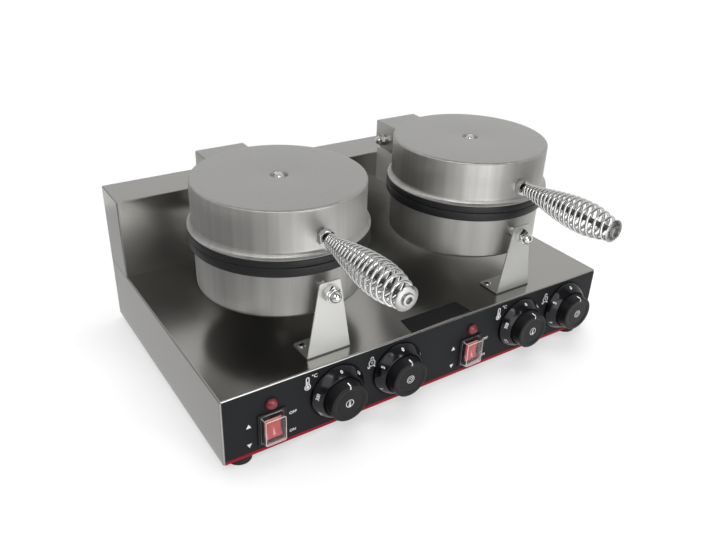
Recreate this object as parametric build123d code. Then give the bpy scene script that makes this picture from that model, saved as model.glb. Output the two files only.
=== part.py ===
from build123d import *
import math
import os

# Double waffle maker: a folded steel base with two round irons that open on rear hinges.
# Millimetres, +Z up, +Y to the back, origin under the middle of the whole outline.

# Base
WIDTH = 550.0
DEPTH = 350.0
BASE_HEIGHT = 84.0
FOOT_HEIGHT = 10.0
FOOT_RADIUS = 14.0
FOOT_INSET_X = 24.0
FOOT_INSET_Y = 15.0
SHEET = 1.2
BEND = 2.0
OVERLAY = 0.8
REAR_DEPTH = 61.0
REAR_HEIGHT = 104.0
HANDLE_REACH = 114.0
GLAND_PROUD = 12.0
GLAND_R = 8.0
GLAND_BORE_R = 4.0
GLAND_FLATS = 20.0
GLAND_RISE = 30.0
WIRING_HOLE_R = 10.0
REAR_FOLD_R = 1.6
FOOT_SCREW_R = 4.0
VENT_WIDTH = 3.0
BOTTOM_VENT = 40.0
REAR_VENT = 35.0

# Irons
IRON_PITCH = 275.0
IRON_SETBACK = 128.5
PAN_LIFT = 45.0
LOWER_SHELL_R = 97.0
LOWER_SHELL_HEIGHT = 54.0
PAN_CORNER_R = 5.0
PLATE_R = 103.5
LOWER_RIM = 10.5
UPPER_RIM = 8.0
PARTING_GAP = 0.3
UPPER_SHELL_R = 98.0
UPPER_SHELL_HEIGHT = 53.5
FLANGE_R = 103.0
FLARE_HEIGHT = 9.0
SHELL_SHEET = 1.2
LID_CORNER_R = 3.0
DIMPLE_R = 8.0
DIMPLE_DEPTH = 4.8
BOLT_R = 4.0
LID_BOLT_DOME_R = 5.4
CAVITY_R = 90.0
CAVITY_MOUTH_R = 93.0
CAVITY_DEPTH = 11.0
PLATE_FLOOR = 6.0
PLATE_SPIGOT_R = 95.5
RIM_CHAMFER = 1.0
BOSS_R = 9.0
BOSS_LENGTH = 11.0
PAN_BOLT_HEAD = 5.3
STUD_BASE = 11.0
STUD_HEIGHT = 8.0
STUD_PITCH = 19.5
STUD_DRAFT = 10.0
STUD_LIMIT_R = 86.0
RIDGE_WIDTH = 3.0
RIDGE_HEIGHT = 5.0
HEATER_R = 60.0
HEATER_BAND = (10.0, 6.0)
HEATER_SWEEP = 320.0

# Hinge
HINGE_SETBACK = 270.0
HINGE_RISE = 128.5
ARM_HALF_WIDTH = 33.0
ARM_SHEET = 2.0
ARM_TOP_RISE = 152.0
ARM_BOTTOM_RISE = 114.5
ARM_BACK_REACH = 19.0
BRACKET_SHEET = 2.0
BRACKET_CLEARANCE = 0.4
BRACKET_BOTTOM_RISE = 64.0
BRACKET_TOP_RISE = 112.0
EAR_RADIUS = 12.0
PIN_RADIUS = 4.0
PIN_CLEARANCE = 0.05
PIN_WASHER = (8.0, 1.6)
PIN_NUT = (13.0, 6.5, 5.8)
PIN_END = 9.0

# Front supports
SUPPORT_SETBACK = 18.0
SUPPORT_SHEET = 1.5
SUPPORT_BOTTOM = 55.0
SUPPORT_TOP = 25.0
SUPPORT_HEIGHT = 90.5
SUPPORT_FOOT = 34.0
SUPPORT_BOLT_RISE = 77.5
SUPPORT_SCREW_X = 20.0
SUPPORT_SCREW_Y = 25.0
SCREW_R = 2.0
SPACER_R = 7.0
SUPPORT_NUT = (17.0, 8.0)
CAP_NUT = (15.0, 2.4, 7.0)

# Handle
HANDLE_RISE = 137.3
HANDLE_NUT_LENGTH = 6.5
HANDLE_NUT_FLATS = 17.0
HANDLE_BOLT_R = 3.0
HANDLE_SOCKET = (6.0, 3.5)
HANDLE_FLANGE_R = 13.0
HANDLE_FLANGE_LENGTH = 2.0
HANDLE_HEAD_R = 6.5
HANDLE_HEAD_LENGTH = 2.5
WIRE = 3.4
WIRE_SIDES = 8
SPRING_TURNS = 19
SPRING_NECK_R = 6.4
SPRING_BELLY_R = 17.5
SPRING_TIP_R = 11.0
SPRING_BELLY_AT = 0.70
SPRING_SWELL = 1.35
SPRING_PITCH_RATIO = 2.0
SPRING_NECK_LEAD = 60.0
SPRING_NECK_RISE = 4.4
SPRING_TIP_LEAD = 28.0
SPRING_TIP_BEND_R = 6.5
SPRING_TIP_GAP = 1.9

# Controls
PANEL_CLEARANCE = 0.2
CONTROL_RISE = 45.0
CONTROL_HOLE_R = 5.0
TIMER_OFFSET = 82.0
SWITCH_OFFSET = -81.0
SWITCH_RISE = 30.0
LAMP_RISE = 60.5
DIAL_R = 34.0
DIAL_BORE_R = 25.2
DIAL_DEPTH = 14.0
KNOB_R = 24.3
KNOB_FACE_R = 22.2
KNOB_PROUD = 27.5
SHAFT_R = 3.0
SWITCH_FRAME = (34.0, 41.0, 2.0)
SWITCH_BOX = (28.0, 35.0, 22.0)
SWITCH_OPENING = (20.0, 30.0)
ROCKER_WIDTH = 19.0
ROCKER_R = 14.5
ROCKER_TILT = 7.5
ROCKER_PIVOT_DEPTH = 3.0
COVER_PROUD = 11.0
LAMP_R = 6.3

# Worked out
FRONT = HANDLE_REACH - (HANDLE_REACH + DEPTH + GLAND_PROUD) / 2
BACK = FRONT + DEPTH
DECK = FOOT_HEIGHT + BASE_HEIGHT
REAR_FRONT = BACK - REAR_DEPTH
REAR_TOP = DECK + REAR_HEIGHT
IRON_X = (-IRON_PITCH / 2, IRON_PITCH / 2)
IRON_Y = FRONT + IRON_SETBACK
PAN_BOTTOM = DECK + PAN_LIFT
RIM_BOTTOM = PAN_BOTTOM + LOWER_SHELL_HEIGHT
PARTING = RIM_BOTTOM + LOWER_RIM
RIM_TOP = PARTING + UPPER_RIM
LID_TOP = RIM_TOP + UPPER_SHELL_HEIGHT
PLATE_BACK = CAVITY_DEPTH + PLATE_FLOOR
HINGE_Y = FRONT + HINGE_SETBACK
HINGE_Z = DECK + HINGE_RISE
WIRING_Z = HINGE_Z - 45
ARM_TOP = DECK + ARM_TOP_RISE
HANDLE_Z = DECK + HANDLE_RISE
HANDLE_TIP = FRONT - HANDLE_REACH
SIDES = ("left", "right")
OUT = Rot(90, 0, 0)


def save(name, shape):
    """Write one piece, a solid or a group of separate solids, under its own name."""
    solids = shape.solids()
    group = solids[0] if len(solids) == 1 else Compound(children=list(solids))
    export_step(group, os.path.join("parts", name + ".step"))


def block(x0, x1, y0, y1, z0, z1):
    """A box between two corners."""
    middle = Pos((x0 + x1) / 2, (y0 + y1) / 2, (z0 + z1) / 2)
    return middle * Box(x1 - x0, y1 - y0, z1 - z0)


def rod_z(x, y, radius, z0, z1):
    """A cylinder standing along Z."""
    return Pos(x, y, (z0 + z1) / 2) * Cylinder(radius, z1 - z0)


def rod_y(x, z, radius, y0, y1):
    """A cylinder lying along Y."""
    return Pos(x, (y0 + y1) / 2, z) * Rot(90, 0, 0) * Cylinder(radius, y1 - y0)


def rod_x(y, z, radius, x0, x1):
    """A cylinder lying along X."""
    return Pos((x0 + x1) / 2, y, z) * Rot(0, 90, 0) * Cylinder(radius, x1 - x0)


def turned(points):
    """A solid of revolution about Z from a closed (radius, height) outline."""
    outline = make_face(Polyline(*points, close=True))
    return revolve(Plane.XZ * outline, Axis.Z)


def hex_prism(across_flats, height):
    """A hexagonal prism standing on the XY plane."""
    return extrude(RegularPolygon(across_flats / 2, 6, major_radius=False), height)


def cap_nut(across_flats, hex_height, dome_radius, bore, bore_depth):
    """A cap nut standing on the XY plane, with its dome upwards."""
    dome = Pos(0, 0, hex_height) * Sphere(dome_radius)
    dome &= block(-across_flats, across_flats, -across_flats, across_flats,
                  hex_height - 1, hex_height + dome_radius)
    flange = Cylinder(across_flats / 2 + 0.9, 1.2, align=(Align.CENTER, Align.CENTER, Align.MIN))
    nut = hex_prism(across_flats, hex_height) + dome + flange
    return nut - rod_z(0, 0, bore, -1, bore_depth)


def both_irons(make):
    """One copy of a piece at each iron."""
    return [Pos(x, 0, 0) * make for x in IRON_X]


def panel_at(x, z):
    """Place a control: its Z axis points out of the front panel, from the panel's face."""
    return Pos(x, FRONT, z) * OUT


def control_x():
    """X positions of the thermostats and of the timers."""
    return IRON_X, tuple(x + TIMER_OFFSET for x in IRON_X)


def panel_cutouts():
    """Cutters for everything that passes through the front panel."""
    near, far = FRONT - 5, FRONT + 10
    cutters = []
    thermostat_x, timer_x = control_x()
    for x in thermostat_x + timer_x:
        cutters.append(rod_y(x, FOOT_HEIGHT + CONTROL_RISE, CONTROL_HOLE_R + PANEL_CLEARANCE, near, far))
    half_x = SWITCH_BOX[0] / 2 + PANEL_CLEARANCE
    half_z = SWITCH_BOX[1] / 2 + PANEL_CLEARANCE
    middle = FOOT_HEIGHT + SWITCH_RISE
    for x in IRON_X:
        switch_x = x + SWITCH_OFFSET
        cutters.append(rod_y(switch_x, FOOT_HEIGHT + LAMP_RISE, LAMP_R + PANEL_CLEARANCE, near, far))
        cutters.append(block(switch_x - half_x, switch_x + half_x, near, far,
                             middle - half_z, middle + half_z))
    return cutters


def base_housing():
    outer = block(-WIDTH / 2, WIDTH / 2, FRONT + OVERLAY, BACK, FOOT_HEIGHT, DECK)
    corners = outer.edges().filter_by(Axis.Z)
    top = outer.edges().group_by(Axis.Z)[-1]
    outer = fillet(corners + top, BEND)
    inner = block(-WIDTH / 2 + SHEET, WIDTH / 2 - SHEET, FRONT + OVERLAY + SHEET, BACK - SHEET,
                  FOOT_HEIGHT - 1, DECK - SHEET)
    housing = outer - inner
    for cutter in panel_cutouts():
        housing -= cutter
    for x in IRON_X:
        housing -= rod_z(x, BACK - REAR_DEPTH / 2, WIRING_HOLE_R, DECK - 5, DECK + 5)
    return housing - rod_y(0, FOOT_HEIGHT + GLAND_RISE, GLAND_R + PANEL_CLEARANCE, BACK - 5, BACK + 5)


def front_panel():
    panel = block(-WIDTH / 2 + BEND, WIDTH / 2 - BEND, FRONT, FRONT + OVERLAY,
                  FOOT_HEIGHT + 0.3, DECK - BEND)
    for cutter in panel_cutouts():
        panel -= cutter
    return panel


def bottom_plate():
    gap = SHEET + 0.3
    plate = block(-WIDTH / 2 + gap, WIDTH / 2 - gap, FRONT + OVERLAY + gap, BACK - gap,
                  FOOT_HEIGHT, FOOT_HEIGHT + SHEET)
    half_x, half_y = BOTTOM_VENT / 2, VENT_WIDTH / 2
    slot = block(-half_x, half_x, -half_y, half_y, FOOT_HEIGHT - 1, FOOT_HEIGHT + 3)
    pitch_x, pitch_y = BOTTOM_VENT * 1.56, VENT_WIDTH * 4
    for iron in IRON_X:
        for column in (-1, 0, 1):
            for row in range(6):
                plate -= Pos(iron + pitch_x * column, IRON_Y + pitch_y * (row - 2.5), 0) * slot
    return plate


def rear_box():
    outer = block(-WIDTH / 2, WIDTH / 2, REAR_FRONT, BACK, DECK, REAR_TOP)
    corners = outer.edges().filter_by(Axis.Z)
    top = outer.edges().group_by(Axis.Z)[-1]
    outer = fillet(corners + top, REAR_FOLD_R)
    inner = block(-WIDTH / 2 + SHEET, WIDTH / 2 - SHEET, REAR_FRONT + SHEET, BACK - SHEET,
                  DECK - 1, REAR_TOP - SHEET)
    box = outer - inner
    slot = block(-REAR_VENT / 2, REAR_VENT / 2, BACK - 5, BACK + 5, -VENT_WIDTH / 2, VENT_WIDTH / 2)
    for x in IRON_X:
        box -= rod_y(x, WIRING_Z, WIRING_HOLE_R - 1, REAR_FRONT - 5, REAR_FRONT + 5)
        for column in (-1, 0, 1):
            for row in range(5):
                box -= Pos(x + (REAR_VENT + 10) * column, 0, REAR_TOP - 30 - 3 * VENT_WIDTH * row) * slot
    return box


def feet():
    foot = turned([(0, 0), (FOOT_RADIUS - 1, 0), (FOOT_RADIUS, 1), (FOOT_RADIUS - 1.5, FOOT_HEIGHT),
                   (0, FOOT_HEIGHT)])
    foot -= rod_z(0, 0, FOOT_SCREW_R, -1, 4)
    solids = []
    for x in (-WIDTH / 2 + FOOT_INSET_X, WIDTH / 2 - FOOT_INSET_X):
        for y in (FRONT + FOOT_INSET_Y, BACK - FOOT_INSET_Y):
            solids += (Pos(x, y, 0) * foot).solids()
    return Compound(children=solids)


def lower_shell():
    """A spun pan: flat bottom with a rounded edge, open at the top."""
    r = LOWER_SHELL_R
    pan = rod_z(0, IRON_Y, r, PAN_BOTTOM, RIM_BOTTOM)
    pan = fillet(pan.edges().group_by(Axis.Z)[0], PAN_CORNER_R)
    hollow = rod_z(0, IRON_Y, r - SHELL_SHEET, PAN_BOTTOM + SHELL_SHEET, RIM_BOTTOM + 1)
    pan -= chamfer(hollow.edges().group_by(Axis.Z)[0], PAN_CORNER_R - SHELL_SHEET)
    pan -= rod_z(0, IRON_Y, BOLT_R, PAN_BOTTOM - 1, PAN_BOTTOM + 5)
    return pan - rod_y(0, DECK + SUPPORT_BOLT_RISE, BOLT_R, IRON_Y - r - 5, IRON_Y - r + 8)


def stud_places():
    """Centres of the studs: square pitch, clear of the dividing ridges and the cavity wall."""
    places = []
    for i in range(-4, 4):
        for j in range(-4, 4):
            x = (i + 0.5) * STUD_PITCH
            y = (j + 0.5) * STUD_PITCH
            if math.hypot(abs(x) + STUD_BASE / 2, abs(y) + STUD_BASE / 2) < STUD_LIMIT_R:
                places.append((x, y))
    return places


def waffle_face():
    """Studs and dividing ridges of one plate, standing on the XY plane and ending at the rim's wall."""
    half = RIDGE_WIDTH / 2
    bars = block(-CAVITY_MOUTH_R, CAVITY_MOUTH_R, -half, half, -0.5, RIDGE_HEIGHT)
    bars += block(-half, half, -CAVITY_MOUTH_R, CAVITY_MOUTH_R, -0.5, RIDGE_HEIGHT)
    bars &= turned([(0, -0.5), (CAVITY_R, -0.5), (CAVITY_R, 0), (CAVITY_MOUTH_R, CAVITY_DEPTH),
                    (0, CAVITY_DEPTH)])
    stud = extrude(Rectangle(STUD_BASE, STUD_BASE), STUD_HEIGHT, taper=STUD_DRAFT)
    stud += extrude(Rectangle(STUD_BASE, STUD_BASE), -0.5)
    return bars.fuse(*[Pos(x, y, 0) * stud for x, y in stud_places()])


def waffle_plate():
    """The studded floor of one cast plate with its threaded boss; the parting plane is XY, cavity upwards."""
    floor = -CAVITY_DEPTH
    back = floor - PLATE_FLOOR
    body = turned([(0, back), (PLATE_SPIGOT_R, back), (PLATE_SPIGOT_R, floor), (0, floor)])
    boss = turned([(BOLT_R, back - BOSS_LENGTH), (BOSS_R, back - BOSS_LENGTH), (BOSS_R + 1, back + 0.5),
                   (0, back + 0.5), (0, back - 1), (BOLT_R, back - 1)])
    return body + boss + Pos(0, 0, floor) * waffle_face()


def rim_ring(rim):
    """The rim that walls one plate's cavity: it stands on the floor's edge and overhangs the shell."""
    floor = -CAVITY_DEPTH
    return turned([(CAVITY_R, floor), (PLATE_SPIGOT_R, floor), (PLATE_SPIGOT_R, -rim), (PLATE_R, -rim),
                   (PLATE_R, -RIM_CHAMFER), (PLATE_R - RIM_CHAMFER, 0), (CAVITY_MOUTH_R, 0)])


def lower_half(shape):
    """Put a lower plate's piece, drawn on its parting plane, into the pan."""
    return Pos(0, IRON_Y, PARTING - PARTING_GAP / 2) * shape


def upper_half(shape):
    """Turn an upper plate's piece over, onto its own parting plane under the lid."""
    return Pos(0, IRON_Y, PARTING + PARTING_GAP / 2) * Rot(180, 0, 0) * shape


def heater_band(z):
    """A flat band heater under or over a plate: most of a ring, with two terminal tabs."""
    width, thick = HEATER_BAND
    band = revolve(Plane.XZ * (Pos(HEATER_R, 0) * Rectangle(width, thick)), Axis.Z, HEATER_SWEEP)
    tab = block(HEATER_R - 2, HEATER_R + 2, -8, 0.5, -1, 1)
    band += tab
    band += Rot(0, 0, HEATER_SWEEP) * mirror(tab, Plane.XZ)
    return Pos(0, IRON_Y, z) * band


def lower_heater():
    return heater_band(PARTING - PLATE_BACK - HEATER_BAND[1] / 2 - 0.5)


def upper_heater():
    return heater_band(PARTING + PLATE_BACK + HEATER_BAND[1] / 2 + 0.5)


def pan_bolt():
    """Hex bolt through the pan's floor, up into the plate's boss."""
    head = Pos(0, IRON_Y, PAN_BOTTOM - PAN_BOLT_HEAD) * hex_prism(13, PAN_BOLT_HEAD)
    return head + rod_z(0, IRON_Y, BOLT_R, PAN_BOTTOM - 1, PARTING - PLATE_BACK - 2)


def support_bracket():
    y0 = FRONT + SUPPORT_SETBACK
    top = DECK + SUPPORT_HEIGHT
    face = make_face(Polyline((-SUPPORT_BOTTOM / 2, DECK), (SUPPORT_BOTTOM / 2, DECK), (SUPPORT_TOP / 2, top),
                              (-SUPPORT_TOP / 2, top), close=True))
    face = fillet(face.vertices().group_by(Axis.Y)[-1], 3)
    upright = extrude(Plane.XZ * face, -SUPPORT_SHEET)
    upright = Pos(0, y0, 0) * upright
    foot = block(-SUPPORT_BOTTOM / 2, SUPPORT_BOTTOM / 2, y0, y0 + SUPPORT_FOOT, DECK, DECK + SUPPORT_SHEET)
    foot = fillet(foot.edges().filter_by(Axis.Z).group_by(Axis.Y)[-1], 5)
    bracket = upright + foot
    bracket -= rod_y(0, DECK + SUPPORT_BOLT_RISE, BOLT_R, y0 - 5, y0 + 5)
    for x in (-SUPPORT_SCREW_X, SUPPORT_SCREW_X):
        bracket -= rod_z(x, y0 + SUPPORT_SCREW_Y, SCREW_R, DECK - 1, DECK + 5)
    return bracket


def bracket_screws():
    """Pan-head screws through each support's foot into the deck."""
    screw = turned([(0, -SUPPORT_SHEET), (SCREW_R, -SUPPORT_SHEET), (SCREW_R, 0), (2.35 * SCREW_R, 0),
                    (1.8 * SCREW_R, 1.1 * SCREW_R), (0, 1.4 * SCREW_R)])
    y = FRONT + SUPPORT_SETBACK + SUPPORT_SCREW_Y
    solids = []
    for iron in IRON_X:
        for x in (-SUPPORT_SCREW_X, SUPPORT_SCREW_X):
            solids += (Pos(iron + x, y, DECK + SUPPORT_SHEET) * screw).solids()
    return Compound(children=solids)


def support_hardware():
    """Bolt, spacer, hex nut and cap nut that hang a pan's front on its support."""
    z = DECK + SUPPORT_BOLT_RISE
    front = FRONT + SUPPORT_SETBACK
    shell = IRON_Y - LOWER_SHELL_R
    flats, thick = SUPPORT_NUT
    bolt = rod_y(0, z, BOLT_R, front - thick - CAP_NUT[2], shell + 8)
    bolt += rod_y(0, z, SPACER_R - 0.5, shell + 2.2, shell + 7)
    spacer = rod_y(0, z, SPACER_R, front + SUPPORT_SHEET, shell + 2) - rod_y(0, z, BOLT_R, front, shell + 5)
    spacer -= rod_z(0, IRON_Y, LOWER_SHELL_R, z - 20, z + 20)
    nut = Pos(0, front, z) * OUT * (hex_prism(flats, thick) - rod_z(0, 0, BOLT_R, -1, thick + 1))
    cap = Pos(0, front - thick, z) * OUT * cap_nut(*CAP_NUT, BOLT_R, CAP_NUT[2])
    return bolt, spacer, nut, cap


def hinge_bracket():
    """Channel from the rear box to the pan, with two ears that carry the pin."""
    half = ARM_HALF_WIDTH - ARM_SHEET - BRACKET_CLEARANCE
    bottom = DECK + BRACKET_BOTTOM_RISE
    top = DECK + BRACKET_TOP_RISE
    wall = block(-half, half, IRON_Y, REAR_FRONT, bottom, top)
    ears = rod_x(HINGE_Y, HINGE_Z, EAR_RADIUS, -half, half)
    ears += block(-half, half, HINGE_Y - EAR_RADIUS, HINGE_Y + EAR_RADIUS, bottom, HINGE_Z)
    hollow = block(-half + BRACKET_SHEET, half - BRACKET_SHEET, IRON_Y - 1, REAR_FRONT - BRACKET_SHEET,
                   bottom + BRACKET_SHEET, HINGE_Z + 50)
    bracket = wall + ears - hollow
    bracket -= rod_z(0, IRON_Y, LOWER_SHELL_R, bottom - 1, RIM_BOTTOM)
    bracket -= rod_z(0, IRON_Y, PLATE_R + 0.5, RIM_BOTTOM - 1, top + 50)
    bracket -= rod_x(HINGE_Y, HINGE_Z, PIN_RADIUS + PIN_CLEARANCE, -half - 1, half + 1)
    return bracket - rod_y(0, WIRING_Z, WIRING_HOLE_R - 1, REAR_FRONT - 5, REAR_FRONT + 5)


def upper_shell():
    """A spun lid in one sheet: dimpled flat top, straight wall and a lower edge flared over the plate."""
    r, top, t = UPPER_SHELL_R, UPPER_SHELL_HEIGHT, SHELL_SHEET
    seat = top - DIMPLE_DEPTH
    slope = DIMPLE_DEPTH * 0.7
    outline = Polyline((BOLT_R, seat), (DIMPLE_R, seat), (DIMPLE_R + slope, top), (r - LID_CORNER_R, top))
    outline += RadiusArc((r - LID_CORNER_R, top), (r, top - LID_CORNER_R), LID_CORNER_R)
    outline += Line((r, top - LID_CORNER_R), (r, FLARE_HEIGHT))
    outline += RadiusArc((r, FLARE_HEIGHT), (FLANGE_R, t), -FLARE_HEIGHT)
    outline += Polyline((FLANGE_R, t), (FLANGE_R, 0), (FLANGE_R - 1.4 * t, 0))
    outline += RadiusArc((FLANGE_R - 1.4 * t, 0), (r - t, FLARE_HEIGHT), FLARE_HEIGHT + t)
    outline += Polyline((r - t, FLARE_HEIGHT), (r - t, top - t), (DIMPLE_R + slope + 0.7, top - t),
                        (DIMPLE_R + 0.7, seat - t), (BOLT_R, seat - t), (BOLT_R, seat))
    shell = Pos(0, IRON_Y, RIM_TOP) * revolve(Plane.XZ * make_face(outline), Axis.Z)
    return shell - rod_y(0, HANDLE_Z, HANDLE_BOLT_R, IRON_Y - r - 5, IRON_Y - r + 5)


def lid_bolt():
    """Domed bolt in the lid's dimple, down into the plate's boss."""
    seat = LID_TOP - DIMPLE_DEPTH
    dome = Pos(0, 0, 1) * Sphere(LID_BOLT_DOME_R) & block(-6, 6, -6, 6, 0, 8)
    head = Pos(0, IRON_Y, seat) * (hex_prism(2 * LID_BOLT_DOME_R, 3) + dome)
    return head + rod_z(0, IRON_Y, BOLT_R, PARTING + PLATE_BACK + 2, seat + 1)


def hinge_arm():
    """Folded cover channel from the lid back over the ears; open underneath and behind."""
    half = ARM_HALF_WIDTH
    back = HINGE_Y + ARM_BACK_REACH
    low = DECK + ARM_BOTTOM_RISE
    side = Line((IRON_Y, low), (HINGE_Y - 14, low)) + Line((HINGE_Y - 14, low), (HINGE_Y + 6, low + 1.5))
    side += RadiusArc((HINGE_Y + 6, low + 1.5), (back, HINGE_Z - 2), -15)
    side += Line((back, HINGE_Z - 2), (back, ARM_TOP)) + Line((back, ARM_TOP), (IRON_Y, ARM_TOP))
    side += Line((IRON_Y, ARM_TOP), (IRON_Y, low))
    arm = extrude(Plane.YZ * make_face(side), half, both=True)
    folds = arm.edges().filter_by(Axis.Y).group_by(Axis.Z)[-1]
    arm = fillet(folds, 2)
    hollow = block(-half + ARM_SHEET, half - ARM_SHEET, IRON_Y - 1, back + 1, low - 1, ARM_TOP - ARM_SHEET)
    arm -= hollow
    arm -= rod_z(0, IRON_Y, UPPER_SHELL_R, RIM_TOP, ARM_TOP + 1)
    arm -= rod_z(0, IRON_Y, FLANGE_R + 1, RIM_TOP - 20, RIM_TOP + FLARE_HEIGHT)
    return arm - rod_x(HINGE_Y, HINGE_Z, PIN_RADIUS, -half - 1, half + 1)


def hinge_pin():
    end = ARM_HALF_WIDTH + PIN_END
    return rod_x(HINGE_Y, HINGE_Z, PIN_RADIUS, -end, end)


def hinge_nuts():
    """A washer and a cap nut outside each side of the arm."""
    radius, thick = PIN_WASHER
    washer = rod_z(0, 0, radius, 0, thick) - rod_z(0, 0, PIN_RADIUS, -1, thick + 1)
    nut = Pos(0, 0, thick) * cap_nut(*PIN_NUT, PIN_RADIUS, PIN_END - thick)
    solids = []
    for turn, x in ((-90, -ARM_HALF_WIDTH), (90, ARM_HALF_WIDTH)):
        place = Pos(x, HINGE_Y, HINGE_Z) * Rot(0, turn, 0)
        solids += (place * washer).solids() + (place * nut).solids()
    return Compound(children=solids)


def handle_nut():
    """Hex nut against the lid's wall, with a socket in its face for the grip's wire."""
    start = IRON_Y - UPPER_SHELL_R
    nut = hex_prism(HANDLE_NUT_FLATS, HANDLE_NUT_LENGTH + 1)
    socket = polar(SPRING_NECK_R, -SPRING_NECK_LEAD, HANDLE_NUT_LENGTH + 1)
    nut -= rod_z(socket.X, socket.Y, WIRE / 2 + 0.05, socket.Z - WIRE - 0.02, socket.Z + 1)
    nut = Pos(0, start + 1, HANDLE_Z) * OUT * nut
    nut -= rod_z(0, IRON_Y, UPPER_SHELL_R, HANDLE_Z - 12, HANDLE_Z + 12)
    return nut - rod_y(0, HANDLE_Z, HANDLE_BOLT_R, start - 20, start + 5)


def handle_bolt():
    """Long bolt through the grip: a flange holds the spring, and the round head has a hex socket."""
    head_base = HANDLE_TIP + HANDLE_HEAD_LENGTH
    flange_base = head_base + HANDLE_FLANGE_LENGTH
    bolt = rod_y(0, HANDLE_Z, HANDLE_BOLT_R, head_base, IRON_Y - UPPER_SHELL_R + 8)
    bolt += rod_y(0, HANDLE_Z, HANDLE_FLANGE_R, head_base, flange_base)
    bolt += rod_y(0, HANDLE_Z, HANDLE_HEAD_R, HANDLE_TIP, head_base)
    flats, deep = HANDLE_SOCKET
    return bolt - Pos(0, HANDLE_TIP + deep, HANDLE_Z) * OUT * hex_prism(flats, deep + 1)


def polar(radius, degrees, height):
    """A point about Z from its radius, angle and height."""
    angle = math.radians(degrees)
    return Vector(radius * math.cos(angle), radius * math.sin(angle), height)


def spring_radius(share):
    """Centre-line radius of the grip: slim at the nut, swelling to a belly, drawn in at the tip."""
    if share < SPRING_BELLY_AT:
        swell = max(0.0, math.sin(math.pi / 2 * share / SPRING_BELLY_AT)) ** SPRING_SWELL
        return SPRING_NECK_R + (SPRING_BELLY_R - SPRING_NECK_R) * swell
    fall = 1 - math.cos(math.pi / 2 * (share - SPRING_BELLY_AT) / (1 - SPRING_BELLY_AT))
    return SPRING_BELLY_R - (SPRING_BELLY_R - SPRING_TIP_R) * fall


def coil_point(turn, start, end):
    """A point of the winding, with its distance along the grip growing faster towards the belly."""
    share = turn / SPRING_TURNS
    ratio = SPRING_PITCH_RATIO
    along = (share + (ratio - 1) * share * share / 2) / (1 + (ratio - 1) / 2)
    return polar(spring_radius(along), 360 * turn, start + (end - start) * along)


def biarc(start, start_way, end, end_way):
    """Two tangent arcs from one point and direction to another."""
    gap = end - start
    ways = start_way + end_way
    square = 2 * (1 - start_way.dot(end_way))
    reach = (-gap.dot(ways) + math.sqrt(gap.dot(ways) ** 2 + square * gap.dot(gap))) / square
    middle = (start + start_way * reach + end - end_way * reach) * 0.5
    first = Edge.make_tangent_arc(start, start_way, middle)
    second = Edge.make_tangent_arc(middle, first % 1, end)
    return [first, second]


def least_gap(points):
    """Smallest distance between turns, less the wire, leaving out each point's near neighbours."""
    least = 1e9
    skip = 14
    for i, a in enumerate(points):
        for b in points[i + skip:i + skip + 60]:
            least = min(least, (a - b).length)
    return least - WIRE


def handle_spring():
    """Barrel-shaped coil grip in one wire: it starts in the nut's socket and ends square to the bolt."""
    nut_face = IRON_Y - UPPER_SHELL_R - HANDLE_NUT_LENGTH
    length = nut_face - (HANDLE_TIP + HANDLE_HEAD_LENGTH + HANDLE_FLANGE_LENGTH)
    start, end = SPRING_NECK_RISE, length - SPRING_TIP_GAP - 0.5
    turns = [i / 4 for i in range(4 * SPRING_TURNS + 1)]
    points = [coil_point(t, start, end) for t in turns]
    ways = [(coil_point(t + 0.002, start, end) - coil_point(t - 0.002, start, end)).normalized()
            for t in turns]
    axis = Vector(0, 0, 1)
    mouth = polar(SPRING_NECK_R, -SPRING_NECK_LEAD, 0)
    inward = polar(1, SPRING_TIP_LEAD + 180, 0)
    bent = polar(SPRING_TIP_BEND_R, SPRING_TIP_LEAD, length - SPRING_TIP_GAP)
    edges = [Edge.make_line(mouth - axis * WIRE, mouth)]
    edges += biarc(mouth, axis, points[0], ways[0])
    for i in range(len(points) - 1):
        edges += biarc(points[i], ways[i], points[i + 1], ways[i + 1])
    edges += biarc(points[-1], ways[-1], bent, inward)
    edges.append(Edge.make_line(bent, bent + inward * (SPRING_TIP_BEND_R - HANDLE_BOLT_R - 0.05)))
    radii = [edge.radius for edge in edges if edge.geom_type == GeomType.CIRCLE]
    path = Wire(edges)
    samples = [path @ (i / (24.0 * SPRING_TURNS)) for i in range(24 * SPRING_TURNS + 1)]
    print("spring: least bend radius", round(min(radii), 2), "least gap", round(least_gap(samples), 2))
    section = Plane(origin=mouth - axis * WIRE, z_dir=axis) * RegularPolygon(WIRE / 2, WIRE_SIDES)
    spring = sweep(section, path=path)
    print("spring volume over section times length", round(spring.volume / (section.area * path.length), 4))
    return Pos(0, nut_face, HANDLE_Z) * OUT * spring


def dial():
    """Fixed scale ring: a cone from the panel up to the knob."""
    ring = turned([(DIAL_BORE_R, 0), (DIAL_R, 0), (DIAL_R, 3.5), (DIAL_BORE_R + 1.2, DIAL_DEPTH),
                   (DIAL_BORE_R, DIAL_DEPTH)])
    return ring


def knob():
    """Turning knob with a slight taper, a shallow face recess, a pointer notch and a D bore."""
    body = turned([(0, 3), (KNOB_R, 3), (KNOB_R, DIAL_DEPTH), (KNOB_FACE_R + 1, KNOB_PROUD - 1.2),
                   (KNOB_FACE_R - 0.2, KNOB_PROUD), (0, KNOB_PROUD)])
    body -= turned([(0, 2), (KNOB_R - 2.5, 2), (KNOB_R - 2.5, 12), (8, 12), (8, 4), (0, 4)])
    body -= turned([(0, KNOB_PROUD - 0.5), (17, KNOB_PROUD - 0.5), (17, KNOB_PROUD + 1), (0, KNOB_PROUD + 1)])
    body -= block(-0.9, 0.9, KNOB_FACE_R - 2.2, KNOB_R + 2, KNOB_PROUD - 8, KNOB_PROUD + 1)
    return body - d_bore()


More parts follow.
